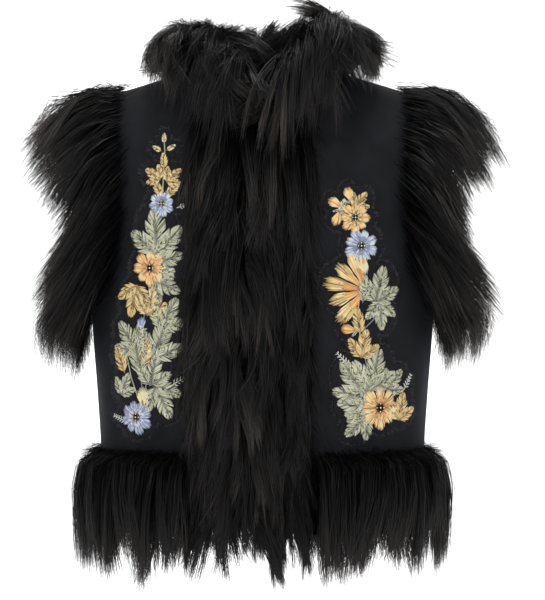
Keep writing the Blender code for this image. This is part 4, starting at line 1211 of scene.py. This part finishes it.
# in mm: first and last top, first and last end, and bow. Then locks, hairs, spread of the tips, lightest tone
LOOSE_LOCKS = [
    # over the opening
    ((22, -62, 6), (48, -74, 40), (-6, -124, -85), (24, -124, -115), (-2, -21, 10), 14, 900, 0.0022, 1.0),
    # down over the right front, and over the left
    ((-22, -58, 6), (-78, -56, 30), (-46, -126, -104), (-116, -106, -46), (-4, -26, 10), 24, 900, 0.0065,
     0.6),
    ((52, -72, 44), (90, -48, 50), (36, -124, -105), (80, -114, -52), (2, -28, 12), 12, 700, 0.0035, 0.7),
    # from the ridge of the right side, close over its front
    ((-20, -82, 8), (-60, -80, 36), (-34, -126, -62), (-90, -112, -36), (-2, -22, 10), 14, 520, 0.005, 0.55),
    # flicks that stand up from the left side, then from the right
    ((94, -40, 40), (78, -46, 48), (16, -46, 71), (32, -50, 62), (4, -6, 10), 5, 420, 0.0030, 0.9),
    ((94, -30, 38), (114, -20, 28), (78, -30, 60), (112, -26, 50), (0, 0, 4), 5, 180, 0.004, 0.6),
    ((-62, -34, 32), (-48, -32, 36), (-64, -30, 56), (-18, -34, 53), (0, 0, 4), 6, 240, 0.0035, 0.6),
    # wisps from the right side across the neck
    ((-46, -45, 34), (-28, -52, 18), (6, -70, 8), (-4, -85, -34), (0, -12, 6), 7, 240, 0.005, 0.7),
    # long hairs that stand away at the left and the right side
    ((100, -30, 36), (114, -20, 12), (156, -34, 24), (166, -34, -26), (6, -4, 6), 9, 100, 0.008, 0.8),
    ((-96, -30, 28), (-112, -20, 4), (-138, -34, 30), (-144, -34, -20), (-2, -4, 4), 8, 90, 0.006, 0.7),
]
loose_hairs = [
    loose_locks(np.random.default_rng(60 + i), row[:5], *row[5:]) for i, row in enumerate(LOOSE_LOCKS)
]

# %% [markdown]
# Inside, the hair is brushed along the neck towards the wearer's left. The inner mass sits on the seam and
# fills the roll.

# %% Inner hair and mass of the collar
count = COLLAR_INNER_HAIRS
share = rng.uniform(0.04, 0.96, count)
first_w = rng.uniform(0.03, 0.26, count)
shares = turned_back(share[:, None] + rng.uniform(0.02, 0.09, (count, 1)) * u)
w = first_w[:, None] + rng.uniform(0.06, 0.16, (count, 1)) * u
spines = roll_points(shares, w, 1.0 + rng.uniform(0.0, 0.06, (count, 1)) * np.sin(np.pi * u))
facing = -np.broadcast_to(collar_at(shares)[..., 3:6], spines.shape)
inner_hairs = (
    *ribbons(rng, spines, facing, rng.uniform(0.0005, 0.0008, count)),
    ribbon_uv(rng.uniform(0.05, 0.5, count)),
)
# out and up, as shares of reach and rise: up the inside of the inner mass and down its outside
COLLAR_MASS = [(-0.05, -0.07), (-0.06, 0.25), (-0.02, 0.55), (0.14, 0.76), (0.40, 0.82)]
COLLAR_MASS += [(0.64, 0.70), (0.72, 0.46), (0.60, 0.24), (0.32, 0.08), (0.10, 0.0)]
COLLAR_MASS_COLUMNS = 150
row = collar_at(np.linspace(0.006, 0.994, COLLAR_MASS_COLUMNS))
collar_mass = np.stack([row[:, :3] + row[:, 3:6] * (out * row[:, 6:7]) for out, _ in COLLAR_MASS], axis=1)
collar_mass[..., 2] += np.array([up for _, up in COLLAR_MASS]) * row[:, 7:8]
collar_mass[:, 1:] = above_cloth(collar_mass[:, 1:], 0.001)
fur_piece("collar_fur", "fur_collar", [outer_hairs, *loose_hairs, inner_hairs], collar_mass)

# %% [markdown]
# ## Embroidery
# Each spray is worked on black net, cut out round the flowers, and sewn on with its edge left frayed. The
# petals and leaves are satin stitch: silk threads side by side from a vein or a centre to the edge. Every
# thread here is its own little ridge, because the light running over the threads is what makes silk look
# like silk.

# %% Places on a front
ARC_ROWS, ARC_COLUMNS = 91, 121
ARC_TURNS = np.linspace(0, math.pi / 2, ARC_ROWS)
ARC_HEIGHTS = np.linspace(-0.50, -0.05, ARC_ROWS)
ARCS = np.linspace(0, 0.24, ARC_COLUMNS)
arc_grid = on_cloth(ARC_TURNS[None], ARC_HEIGHTS[:, None])
arc_steps = np.linalg.norm(np.diff(arc_grid, axis=1), axis=-1)
arc_lengths = np.concatenate([np.zeros((ARC_ROWS, 1)), np.cumsum(arc_steps, axis=1)], axis=1)
turn_grid = np.array([np.interp(ARCS, row, ARC_TURNS) for row in arc_lengths])


def on_front(side, flat, lift):
    """Points on a front from flat places: across, measured round the cloth from its centre, and height."""
    flat = np.asarray(flat, float)
    row = np.clip((flat[..., 1] - ARC_HEIGHTS[0]) / (ARC_HEIGHTS[1] - ARC_HEIGHTS[0]), 0, ARC_ROWS - 1.001)
    column = np.clip(flat[..., 0] / (ARCS[1] - ARCS[0]), 0, ARC_COLUMNS - 1.001)
    r, c = row.astype(int), column.astype(int)
    dr, dc = row - r, column - c
    turn = (turn_grid[r, c] * (1 - dc) + turn_grid[r, c + 1] * dc) * (1 - dr)
    turn += (turn_grid[r + 1, c] * (1 - dc) + turn_grid[r + 1, c + 1] * dc) * dr
    return on_cloth(side * turn, flat[..., 1], lift)


# %% [markdown]
# Stitches are kept as rows of numbers until the whole spray is drawn: where a thread starts and ends, its
# colour, its width and how high it arches. A leaf blade is sewn from its vein outwards and up, a petal from
# the flower's centre to its rim, and a stem is a line of short slanting stitches.

# %% Silk colours
SILKS = {
    "sage": "#a5a88d",
    "sage light": "#c9cab2",
    "sage deep": "#787c68",
    "mauve": "#7b7882",
    "cream": "#d9d1a8",
    "gold": "#d2b070",
    "gold light": "#e6d3a0",
    "gold deep": "#a68850",
    "orange": "#d89c5a",
    "peach": "#e7c38d",
    "rust": "#86492a",
    "blue": "#8792b6",
    "blue light": "#c2cadc",
    "white": "#d6d9d2",
    # painted shadow: a darker thread that stands for shade between the stitches
    "painted shadow": "#4a4a40",
    "dark": "#232427",
}
SILK_NAMES = list(SILKS)
# The maker changes to a neighbouring shade every few threads. The painted shadow thread among them is painted
# shade, not a silk.
SHADES = {
    "sage": {"sage": 5, "sage light": 4, "sage deep": 2, "painted shadow": 1},
    "gold": {"gold": 6, "gold light": 4, "gold deep": 2, "painted shadow": 1},
    "peach": {"peach": 6, "gold light": 4, "orange": 2, "painted shadow": 1},
    "orange": {"orange": 4, "peach": 2, "gold deep": 1},
    "blue": {"blue": 4, "blue light": 2, "mauve": 1},
    "blue light": {"blue light": 4, "white": 1, "blue": 2},
    "cream": {"cream": 4, "gold light": 2, "sage light": 1},
}
THREAD_WIDTH = 0.0010  # floss is 0.4 mm; two strands lie together
THREAD_STEPS = 3
stitch_rng = np.random.default_rng(51)


def next_shade(silk):
    """The silk itself or a neighbouring shade, as often as the table says."""
    choices = [shade for shade, often in SHADES.get(silk, {silk: 1}).items() for _ in range(often)]
    return choices[int(stitch_rng.integers(len(choices)))]


def direction(angle):
    """The flat direction at an angle from upwards, positive away from the centre."""
    return np.array([math.sin(angle), math.cos(angle)])


# %% [markdown]
# A leaf blade is sewn in two halves from its vein outwards, with a slit here and there where the ground
# shows. Veins are couched on last, and single dark and cream stitches break the surface.

# %% Leaves
def blade(stitches, base, tip, half_width, silk, teeth=4, gaps=0.07):
    """A leaf blade in satin stitch: threads slant from the vein to a toothed edge, with a few slits."""
    axis = tip - base
    length = np.linalg.norm(axis)
    axis = axis / length
    normal = np.array([axis[1], -axis[0]])
    steps = max(5, int(length / (THREAD_WIDTH * 0.80)))
    for side in (-1, 1):
        for i in range(steps):
            t = (i + 0.5) / steps
            end = min(1.0, t + 0.20)
            tooth = 0.74 + 0.26 * ((end * teeth) % 1.0)
            swell = math.sin(math.pi * min(1.0, end**0.8 * 0.97)) ** 0.7 * tooth
            inner = base + axis * length * t * 0.94 + normal * side * 0.0004
            outer = base + axis * length * end + normal * side * half_width * swell
            if stitch_rng.random() > gaps and np.linalg.norm(outer - inner) > 0.0012:
                stitches.append((inner, outer, next_shade(silk), THREAD_WIDTH, 0.0006))


def dashes(stitches, foot, aim, reach, half_width, count, silk):
    """Short single stitches scattered over a blade or a petal, slanting a little away from its middle."""
    beside = np.array([aim[1], -aim[0]])
    for _ in range(count):
        along = stitch_rng.uniform(0.25, 0.88)
        across = stitch_rng.uniform(-0.75, 0.75)
        at = foot + aim * reach * along + beside * across * half_width * math.sin(math.pi * along)
        way = unit(aim + beside * across * 0.7) * stitch_rng.uniform(0.0012, 0.0020)
        stitches.append((at - way, at + way, silk, 0.0010, 0.0014))


def leaf(stitches, centre, size, tilt, silk, lobes):
    """A leaf of one or three toothed lobes that spread from its foot, with couched veins."""
    foot = centre - direction(tilt) * size * 0.75
    for angle in [-46, 46, 0][-lobes:]:
        reach = size * (1.72 if angle == 0 else 1.38)
        aim = direction(tilt + math.radians(angle))
        half_width = reach * (0.30 if lobes > 1 else 0.27)
        blade(stitches, foot + aim * reach * 0.05, foot + aim * reach, half_width, silk)
        stem(stitches, [foot, foot + aim * reach * 0.78], "mauve" if "sage" in silk else "gold deep", 0.0005)
        dashes(stitches, foot, aim, reach, reach * 0.24, max(2, int(reach / 0.004)), "dark")
        dashes(stitches, foot, aim, reach, reach * 0.30, max(1, int(reach / 0.009)), "cream")


# %% [markdown]
# A petal's threads fan from the flower's centre. A second, deeper ring is sewn over the first, rust rays
# over that, and glass beads close the heart. Buds and half-open flowers are made of the same petals.

# %% Flowers
def petal(stitches, centre, angle, inner, outer, half_angle, silk, arch=0.0009, round_off=0.22):
    """A petal in satin stitch, its threads fanned from the flower's centre and a little uneven at the rim."""
    steps = max(4, int(2 * half_angle * outer * 0.85 / THREAD_WIDTH))
    for i in range(steps):
        s = 2 * (i + 0.5) / steps - 1
        aim = direction(angle + half_angle * s)
        rim = outer * (1 - round_off * abs(s) ** 2.2) * stitch_rng.uniform(0.93, 1.03)
        stitches.append((centre + aim * inner, centre + aim * rim, next_shade(silk), THREAD_WIDTH, arch))


PETALS = 8


def flower(stitches, beads, centre, size, tilt, silk, ray_silk):
    """A round flower: pale petal ends, a deeper ring inside them, rust rays and a ring of beads."""
    half = math.pi / PETALS * 0.94
    for k in range(PETALS):
        angle = tilt + 2 * math.pi * k / PETALS
        petal(stitches, centre, angle, size * 0.42, size * (1.0 if k % 3 else 0.9), half, silk)
        petal(stitches, centre, angle, size * 0.20, size * 0.60, half, ray_silk, 0.0015)
        aim = direction(angle)
        ray = "rust" if ray_silk != "blue" else "mauve"
        stitches.append((centre + aim * size * 0.16, centre + aim * size * 0.46, ray, 0.0009, 0.0022))
    for k in range(8):
        at = centre + direction(math.pi * k / 4) * size * 0.17
        beads.append((at, 0.0008, "rust" if k % 2 else "white"))
    beads.append((centre, 0.0010, "gold light"))


def bud(stitches, centre, size, tilt, silk, ray_silk):
    """A closed bud: one rounded petal with a deeper heart between two small sepals."""
    foot = centre - direction(tilt) * size
    petal(stitches, foot, tilt, size * 0.25, size * 1.9, math.radians(26), silk, round_off=0.30)
    if ray_silk:
        petal(stitches, foot, tilt, size * 0.25, size * 1.1, math.radians(16), ray_silk, 0.0014)
    for side in (-1, 1):
        aim = direction(tilt + side * math.radians(58))
        blade(stitches, foot, foot + aim * size * 0.85, size * 0.16, "sage", 1, 0)


def fan(stitches, centre, size, tilt, silk, ray_silk):
    """A half-open flower seen from the side: five petals in a fan."""
    foot = centre - direction(tilt) * size * 0.7
    for k in range(-2, 3):
        angle = tilt + k * math.radians(30)
        reach = size * (1.7 if k % 2 == 0 else 1.5)
        petal(stitches, foot, angle, size * 0.7, reach, math.radians(13), silk)
        petal(stitches, foot, angle, size * 0.2, size * 1.05, math.radians(12), ray_silk, 0.0014)
        dashes(stitches, foot, direction(angle), reach, reach * 0.14, 4, "rust")


# %% [markdown]
# Stems are lines of short slanting stitches that lie over one another like the strands of a rope.

# %% Stems and sprigs
def stem(stitches, points, silk, width=0.0014):
    """A line of short slanting stitches through points."""
    points = np.asarray(points, float)
    shares = even_shares(points, max(3, int(np.linalg.norm(np.diff(points, axis=0), axis=1).sum() / 0.0016)))
    line = np.stack([np.interp(shares, np.arange(len(points)), points[:, i]) for i in range(2)], axis=-1)
    for a, b in zip(line, line[1:]):
        along = b - a
        aside = np.array([along[1], -along[0]]) / max(1e-6, np.linalg.norm(along)) * width / 2
        stitches.append((a - aside - along * 0.4, b + aside + along * 0.4, silk, 0.0008, 0.0004))


def sprig(stitches, foot, size, tilt, silk):
    """A feathery sprig: a thin stem with pairs of single stitches."""
    aim = direction(tilt)
    stem(stitches, [foot, foot + aim * size * 1.3], silk, 0.0004)
    for k in range(1, 6):
        at = foot + aim * size * k / 4.2
        for side in (-1, 1):
            reach = direction(tilt + side * math.radians(48)) * size * 0.30 * (1.2 - k / 9)
            stitches.append((at + reach * 0.15, at + reach, silk, 0.0011, 0.0003))


# %% [markdown]
# The two sprays climb the fronts in the same spirit without being a pair. A row says which motif, where its
# middle is, how big it is, which way it points (0 is up, in degrees, outwards is positive) and its silks.

# %% Sprays
# motif, across, height, size in mm, tilt in degrees, silk and second silk
RIGHT_SPRAY = [
    ("leaf1", 112, -85, 7, 0, "cream"),
    ("leaf1", 104, -96, 7, -60, "cream"),
    ("leaf1", 120, -97, 7, 60, "cream"),
    ("leaf1", 112, -112, 11, 4, "gold"),
    ("leaf3", 101, -129, 13, -50, "gold"),
    ("leaf3", 124, -127, 13, 55, "gold"),
    ("leaf1", 103, -146, 13, -50, "gold"),
    ("leaf1", 118, -144, 13, 30, "gold"),
    ("flower", 114, -160, 16, 10, "blue light", "blue"),
    ("leaf3", 121, -195, 31, 5, "sage"),
    ("leaf3", 110, -224, 23, -75, "sage"),
    ("leaf3", 111, -252, 21, -115, "sage"),
    ("flower", 128, -233, 22, 0, "peach", "orange"),
    ("leaf3", 149, -268, 22, 165, "gold"),
    ("leaf3", 128, -272, 20, -14, "gold"),
    ("leaf3", 107, -286, 23, -30, "sage"),
    ("bud", 139, -296, 9, 0, "blue", "blue light"),
    ("leaf3", 156, -312, 24, 38, "sage"),
    ("leaf3", 117, -316, 28, -20, "sage"),
    ("leaf1", 144, -335, 28, 8, "sage"),
    ("leaf1", 168, -338, 20, 20, "gold"),
    ("leaf1", 134, -330, 19, -12, "gold"),
    ("leaf3", 125, -350, 22, -15, "sage"),
    ("leaf3", 163, -366, 16, -25, "sage"),
    ("leaf3", 114, -382, 24, -155, "sage"),
    ("bud", 137, -380, 14, 10, "cream", "gold"),
    ("flower", 146, -402, 21, 15, "blue", "blue light"),
    ("sprig", 104, -366, 18, -60, "white"),
    ("sprig", 160, -408, 16, 70, "white"),
    ("sprig", 96, -165, 13, -75, "white"),
]
LEFT_SPRAY = [
    ("bud", 82, -160, 10, -60, "peach", "orange"),
    ("bud", 84, -177, 10, 200, "peach", "orange"),
    ("leaf1", 90, -163, 9, 20, "cream"),
    ("bud", 98, -150, 10, -20, "peach"),
    ("leaf3", 111, -157, 13, 40, "gold"),
    ("flower", 105, -176, 19, 0, "peach", "gold"),
    ("flower", 112, -208, 21, 20, "blue light", "blue"),
    ("bud", 114, -230, 13, 180, "cream", "orange"),
    ("fan", 96, -254, 29, -80, "gold", "orange"),
    ("leaf1", 115, -258, 19, 5, "sage"),
    ("leaf3", 134, -254, 25, 15, "sage"),
    ("leaf3", 136, -285, 19, 175, "sage"),
    ("leaf1", 109, -294, 18, -8, "gold"),
    ("bud", 97, -302, 10, -80, "orange"),
    ("leaf3", 115, -320, 19, 12, "gold"),
    ("leaf3", 105, -360, 29, -35, "sage"),
    ("leaf3", 128, -350, 28, 15, "sage"),
    ("leaf3", 153, -361, 18, 45, "sage"),
    ("leaf3", 103, -388, 20, -80, "sage"),
    ("leaf3", 108, -410, 20, -130, "sage"),
    ("flower", 135, -391, 26, 0, "peach", "orange"),
    ("leaf3", 164, -392, 19, 12, "gold"),
    ("sprig", 100, -345, 18, -45, "white"),
    ("sprig", 168, -372, 16, 30, "white"),
]
# Stems that tie the motifs together, worked before them: silk, and points in mm
RIGHT_STEMS = [
    ("sage", [(112, -88), (111, -100), (112, -118), (113, -150)]),
    ("mauve", [(117, -175), (121, -205), (127, -245), (133, -272)]),
    ("mauve", [(133, -272), (139, -305), (143, -345), (137, -380)]),
    ("mauve", [(118, -292), (124, -325), (132, -356), (137, -380)]),
    ("sage", [(160, -330), (154, -356), (142, -384)]),
]
LEFT_STEMS = [
    ("sage", [(85, -166), (94, -172), (104, -186), (111, -206)]),
    ("gold", [(113, -220), (113, -245), (108, -280), (110, -305), (116, -330)]),
    ("mauve", [(134, -262), (128, -290), (112, -305)]),
    ("mauve", [(116, -330), (121, -356), (130, -382)]),
]


def draw_motif(stitches, beads, motif, across, height, size, tilt, silk, second=None):
    """Works one row of a spray."""
    centre, size, angle = np.array([across, height]) / 1000, size / 1000, math.radians(tilt)
    if motif == "flower":
        flower(stitches, beads, centre, size, angle, silk, second)
    elif motif == "bud":
        bud(stitches, centre, size, angle, silk, second)
    elif motif == "fan":
        fan(stitches, centre, size, angle, silk, second)
    elif motif == "sprig":
        sprig(stitches, centre, size, angle, silk)
    else:
        leaf(stitches, centre, size, angle, silk, int(motif[-1]))


# %% [markdown]
# Silk floss is a bundle of smooth filaments, so its shine is strong and runs across each stitch. The thread's
# map gives its colour from a ramp with one flat step for each silk, times painted light and shade along the
# stitch: a painted highlight on its middle and painted shade at its ends, where it dives into the net.

# %% Silk floss
silk_floss, shader = new_material("silk_floss", Roughness=0.42, IOR=1.5, Sheen_Weight=0.15)
dye_place, along_stitch = map_place(silk_floss)
DYES = [(i / len(SILKS), SILKS[name]) for i, name in enumerate(SILK_NAMES)]
# Painted light and shade along a stitch: lighter in its middle, darker at its ends
PAINTED_LIGHT_AND_SHADE = [(0.0, "#a8a49c"), (0.25, "#f2f0ea"), (0.8, "#ffffff"), (1.0, "#cfccc4")]
dye = colour_ramp(silk_floss, dye_place, DYES, "CONSTANT")
worked = multiplied(silk_floss, dye, colour_ramp(silk_floss, along_stitch, PAINTED_LIGHT_AND_SHADE))
silk_floss.node_tree.links.new(worked, shader.inputs["Base Color"])

# %% [markdown]
# A stitch is a small ridge with two faces across, thinner at its ends, where it dives into the net. A bead
# is a small ball. Both are placed flat and then laid on the curved front.

# %% Threads as ridges
def thread_mesh(side, stitches, rng):
    """Points, quads and map of every stitch, each a small ridge of two faces across."""
    starts, ends, silks, width, arch = (np.array(column) for column in zip(*stitches))
    index = np.array([SILK_NAMES.index(silk) for silk in silks])
    t = np.linspace(0, 1, THREAD_STEPS + 1)
    flat = starts[:, None] + (ends - starts)[:, None] * t[None, :, None]
    along = unit(ends - starts)
    aside = np.stack([along[:, 1], -along[:, 0]], axis=-1)[:, None]
    half = (width[:, None] / 2 * np.interp(t, [0, 0.2, 0.8, 1], [0.55, 1, 1, 0.5])[None])[..., None]
    base = 0.0016 + arch[:, None] * np.sin(np.pi * np.clip(t, 0.04, 0.96)) + rng.uniform(0, 0.0002, len(t))
    left = on_front(side, flat - aside * half, base)
    right = on_front(side, flat + aside * half, base)
    top = on_front(side, flat, base + width[:, None] * 0.42)
    points = np.stack([left, top, right], axis=2)
    block = np.arange(len(stitches))[:, None, None] * (THREAD_STEPS + 1) * 3
    block = block + np.arange(THREAD_STEPS)[None, :, None] * 3 + np.arange(2)[None, None]
    quads = np.stack([block, block + 1, block + 4, block + 3], axis=-1).reshape(-1, 4)
    slot_u = (index + 0.5 + rng.uniform(-0.3, 0.3, len(index))) / len(SILK_NAMES)
    u = slot_u[:, None, None, None] + np.zeros((1, THREAD_STEPS, 2, 4))
    u = u + np.array([0, 0.004, 0.004, 0])[None, None, None]
    v = np.stack([t[:-1], t[:-1], t[1:], t[1:]], axis=-1)[None, :, None]
    uv = np.stack(np.broadcast_arrays(u, v), axis=-1).reshape(-1, 2)
    return points.reshape(-1, 3), quads, uv


def bead_mesh(side, beads):
    """Points, quads and map of round beads, each a small ball of quads."""
    rings, around = 4, 8
    phi = np.linspace(0.15, math.pi - 0.15, rings)[:, None]
    theta = (np.arange(around) * 2 * math.pi / around)[None]
    waist = np.sin(phi)
    ball = np.stack([waist * np.cos(theta), waist * np.sin(theta), np.cos(phi) + 0 * theta], axis=-1)
    ball = ball.reshape(-1, 3)
    faces = loft_faces(rings, around, True)
    points, quads, uvs = [], [], []
    for k, (centre, radius, silk) in enumerate(beads):
        middle = on_front(side, centre[None], np.array([0.0022 + radius]))[0]
        points.append(middle + ball * radius)
        quads.append(faces + k * len(ball))
        u = (SILK_NAMES.index(silk) + 0.5) / len(SILK_NAMES)
        corner = np.array([(u, 0.4), (u + 0.004, 0.4), (u + 0.004, 0.5), (u, 0.5)])
        uvs.append(np.tile(corner, (len(faces), 1)))
    return np.concatenate(points), np.concatenate(quads), np.concatenate(uvs)


# %% [markdown]
# The net is cut a few millimetres outside the stitching. Its outline is the union of soft blobs round the
# motifs, which a constrained triangulation finds, and its cut threads curl out all along the edge as a
# fuzzy border.

# %% Black net
NET_MARGIN = 0.0045
net_black, shader = new_material(
    "frayed_black_net",
    Roughness=0.9,
    Sheen_Weight=0.15,
    Sheen_Tint=linear("#7d7782"),
    Specular_IOR_Level=0.15,
)
place = add_node(net_black, "ShaderNodeTexCoord")
mesh_holes = add_node(
    net_black, "ShaderNodeTexVoronoi", {"Vector": place.outputs["Object"]}, Scale=1000 / 1.6, Randomness=0.35
)
net_tint = colour_ramp(net_black, mesh_holes.outputs["Distance"], [(0.25, "#0d0d10"), (0.65, "#1b1a1e")])
net_black.node_tree.links.new(net_tint, shader.inputs["Base Color"])

# %% [markdown]
# Each motif lends the cut a ragged oval a little larger than itself. A loose grid of points inside lets the
# net follow the cloth.

# %% Cut of the net
NET_GRID = 0.009
OVAL_POINTS = 26
# length and width of a motif's oval, as shares of its size; flowers are round
OVALS = {"leaf1": (1.0, 0.42), "leaf3": (1.0, 0.75), "sprig": (0.9, 0.4), "bud": (1.0, 0.7)}


def net_region(spray, rng):
    """Triangles of the net's flat cut, with points close enough together to follow the cloth."""
    points, faces = [], []
    for motif, across, height, size, tilt, *_ in spray:
        middle, size = np.array([across, height]) / 1000, size / 1000
        long, wide = OVALS.get(motif, (1.0, 1.0))
        aim = direction(math.radians(tilt))
        aside = np.array([aim[1], -aim[0]])
        if motif == "sprig":
            middle = middle + aim * size * 0.5
            size = size * 0.55
        faces.append(list(range(len(points), len(points) + OVAL_POINTS)))
        for a in np.linspace(0, 2 * math.pi, OVAL_POINTS, endpoint=False):
            ragged = NET_MARGIN + rng.uniform(-0.0012, 0.0014)
            out = aim * math.cos(a) * (size * long + ragged)
            points.append(middle + out + aside * math.sin(a) * (size * wide + ragged))
    low, high = np.min(points, axis=0), np.max(points, axis=0)
    for a in np.arange(low[0], high[0], NET_GRID):
        for b in np.arange(low[1], high[1], NET_GRID):
            points.append(np.array([a, b]))
    flat, _, triangles = delaunay_2d_cdt([tuple(p) for p in points], [], faces, 1, 0.0004)[:3]
    return np.array([(p.x, p.y) for p in flat]), [list(t) for t in triangles]


def net_piece(name, node, side, spray, rng):
    """A spray's net ground, laid on its front. Gives back the flat border, edge by edge."""
    flat, triangles = net_region(spray, rng)
    used = sorted({k for t in triangles for k in t})
    renumber = {k: i for i, k in enumerate(used)}
    flat = flat[used]
    triangles = [[renumber[k] for k in t] for t in triangles]
    directed = {(t[i], t[(i + 1) % 3]) for t in triangles for i in range(3)}
    border = [(a, b) for a, b in directed if (b, a) not in directed]
    top, low = on_front(side, flat, 0.0015), on_front(side, flat, 0.0009)
    count = len(flat)
    faces = triangles + [[k + count for k in reversed(t)] for t in triangles]
    faces += [[a, a + count, b + count, b] for a, b in border]
    mesh = bpy.data.meshes.new(name)
    mesh.from_pydata(np.concatenate([top, low]), [], faces)
    if side > 0:
        mesh.flip_normals()
    mesh.materials.append(net_black)
    mesh.shade_smooth()
    piece = add_piece(name, mesh, node)
    return np.array([(flat[a], flat[b]) for a, b in sorted(border)])


# %% [markdown]
# Cut net frays. Its loose threads curl out all along the edge. Stitches, beads and frayed threads are
# joined in one mesh, since the maker handles the spray as one thing.

# %% Frayed threads and the whole spray
FRAYED_PER_METRE = 1500


def fuzz(side, border, rng):
    """Curly cut ends of net thread along the border, as narrow ribbons."""
    lengths = np.linalg.norm(border[:, 1] - border[:, 0], axis=-1)
    count = int(lengths.sum() * FRAYED_PER_METRE)
    pick = rng.choice(len(border), count, p=lengths / lengths.sum())
    t = rng.uniform(0, 1, (count, 1))
    root = border[pick, 0] * (1 - t) + border[pick, 1] * t
    along = unit(border[pick, 1] - border[pick, 0])
    out = np.stack([along[:, 1], -along[:, 0]], axis=-1)
    u = ALONG[None, :, None]
    reach = rng.uniform(0.0015, 0.0050, (count, 1, 1))
    curl = rng.uniform(-0.0016, 0.0016, (count, 1, 1))
    slant = rng.normal(0, 0.5, (count, 1, 1))
    flat = root[:, None] + (out[:, None] * u + along[:, None] * slant * u) * reach
    flat = flat + along[:, None] * curl * np.sin(u * rng.uniform(3, 8, (count, 1, 1)))
    lift = 0.0012 + rng.uniform(0.0005, 0.0022, (count, 1)) * np.sin(math.pi * ALONG[None] * 0.8)
    spines = on_front(side, flat, lift)
    outward = face_out(side * np.full(spines.shape[:2], 0.6), np.full(spines.shape[:2], -0.3))
    points, quads = ribbons(rng, spines, outward, np.full(count, 0.00040), 1.2)
    return points, quads, ribbon_uv(np.full(count, 0.5))


def embroidery(name, node, side, spray, stems, rng, border):
    """All that is worked on a net, as one piece."""
    stitches, beads = [], []
    for silk, points in stems:
        stem(stitches, np.array(points) / 1000, silk)
    for row in spray:
        draw_motif(stitches, beads, *row)
    groups = [thread_mesh(side, stitches, rng), bead_mesh(side, beads), fuzz(side, border, rng)]
    print(name, "stitches", len(stitches), "beads", len(beads))
    add_piece(name, joined_mesh(name, groups, [silk_floss, glass_bead, net_thread]), node)


# %% [markdown]
# Seed beads are pressed glass with a bright small highlight, dyed like the silks. Frayed net thread is
# dull.

# %% Seed beads and net thread
glass_bead, shader = new_material("glass_seed_bead", Roughness=0.12, IOR=1.52, Coat_Weight=0.3)
bead_dye = colour_ramp(glass_bead, map_place(glass_bead)[0], DYES, "CONSTANT")
glass_bead.node_tree.links.new(bead_dye, shader.inputs["Base Color"])
net_thread, shader = new_material("cut_net_thread", Roughness=0.8, Base_Color=linear("#2b292f"))

# %% [markdown]
# The maker works each spray apart and sews it on last. Each has its own draw of chance, so one can change
# without the other.

# %% Sew the sprays on
for name, node, side, spray, stems, seed in (
    ("right_spray", "applique_right", -1, RIGHT_SPRAY, RIGHT_STEMS, 41),
    ("left_spray", "applique_left", 1, LEFT_SPRAY, LEFT_STEMS, 42),
):
    rng = np.random.default_rng(seed)
    border = net_piece(f"{name}_net", node, side, spray, rng)
    embroidery(f"{name}_stitches", node, side, spray, stems, rng, border)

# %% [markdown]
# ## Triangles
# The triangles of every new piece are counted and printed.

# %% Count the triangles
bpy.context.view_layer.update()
triangles = {
    piece.name: sum(len(face.vertices) - 2 for face in piece.data.polygons)
    for piece in bpy.data.objects
    if piece.type == "MESH" and piece.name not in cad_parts
}
print("triangles", sum(triangles.values()), triangles)
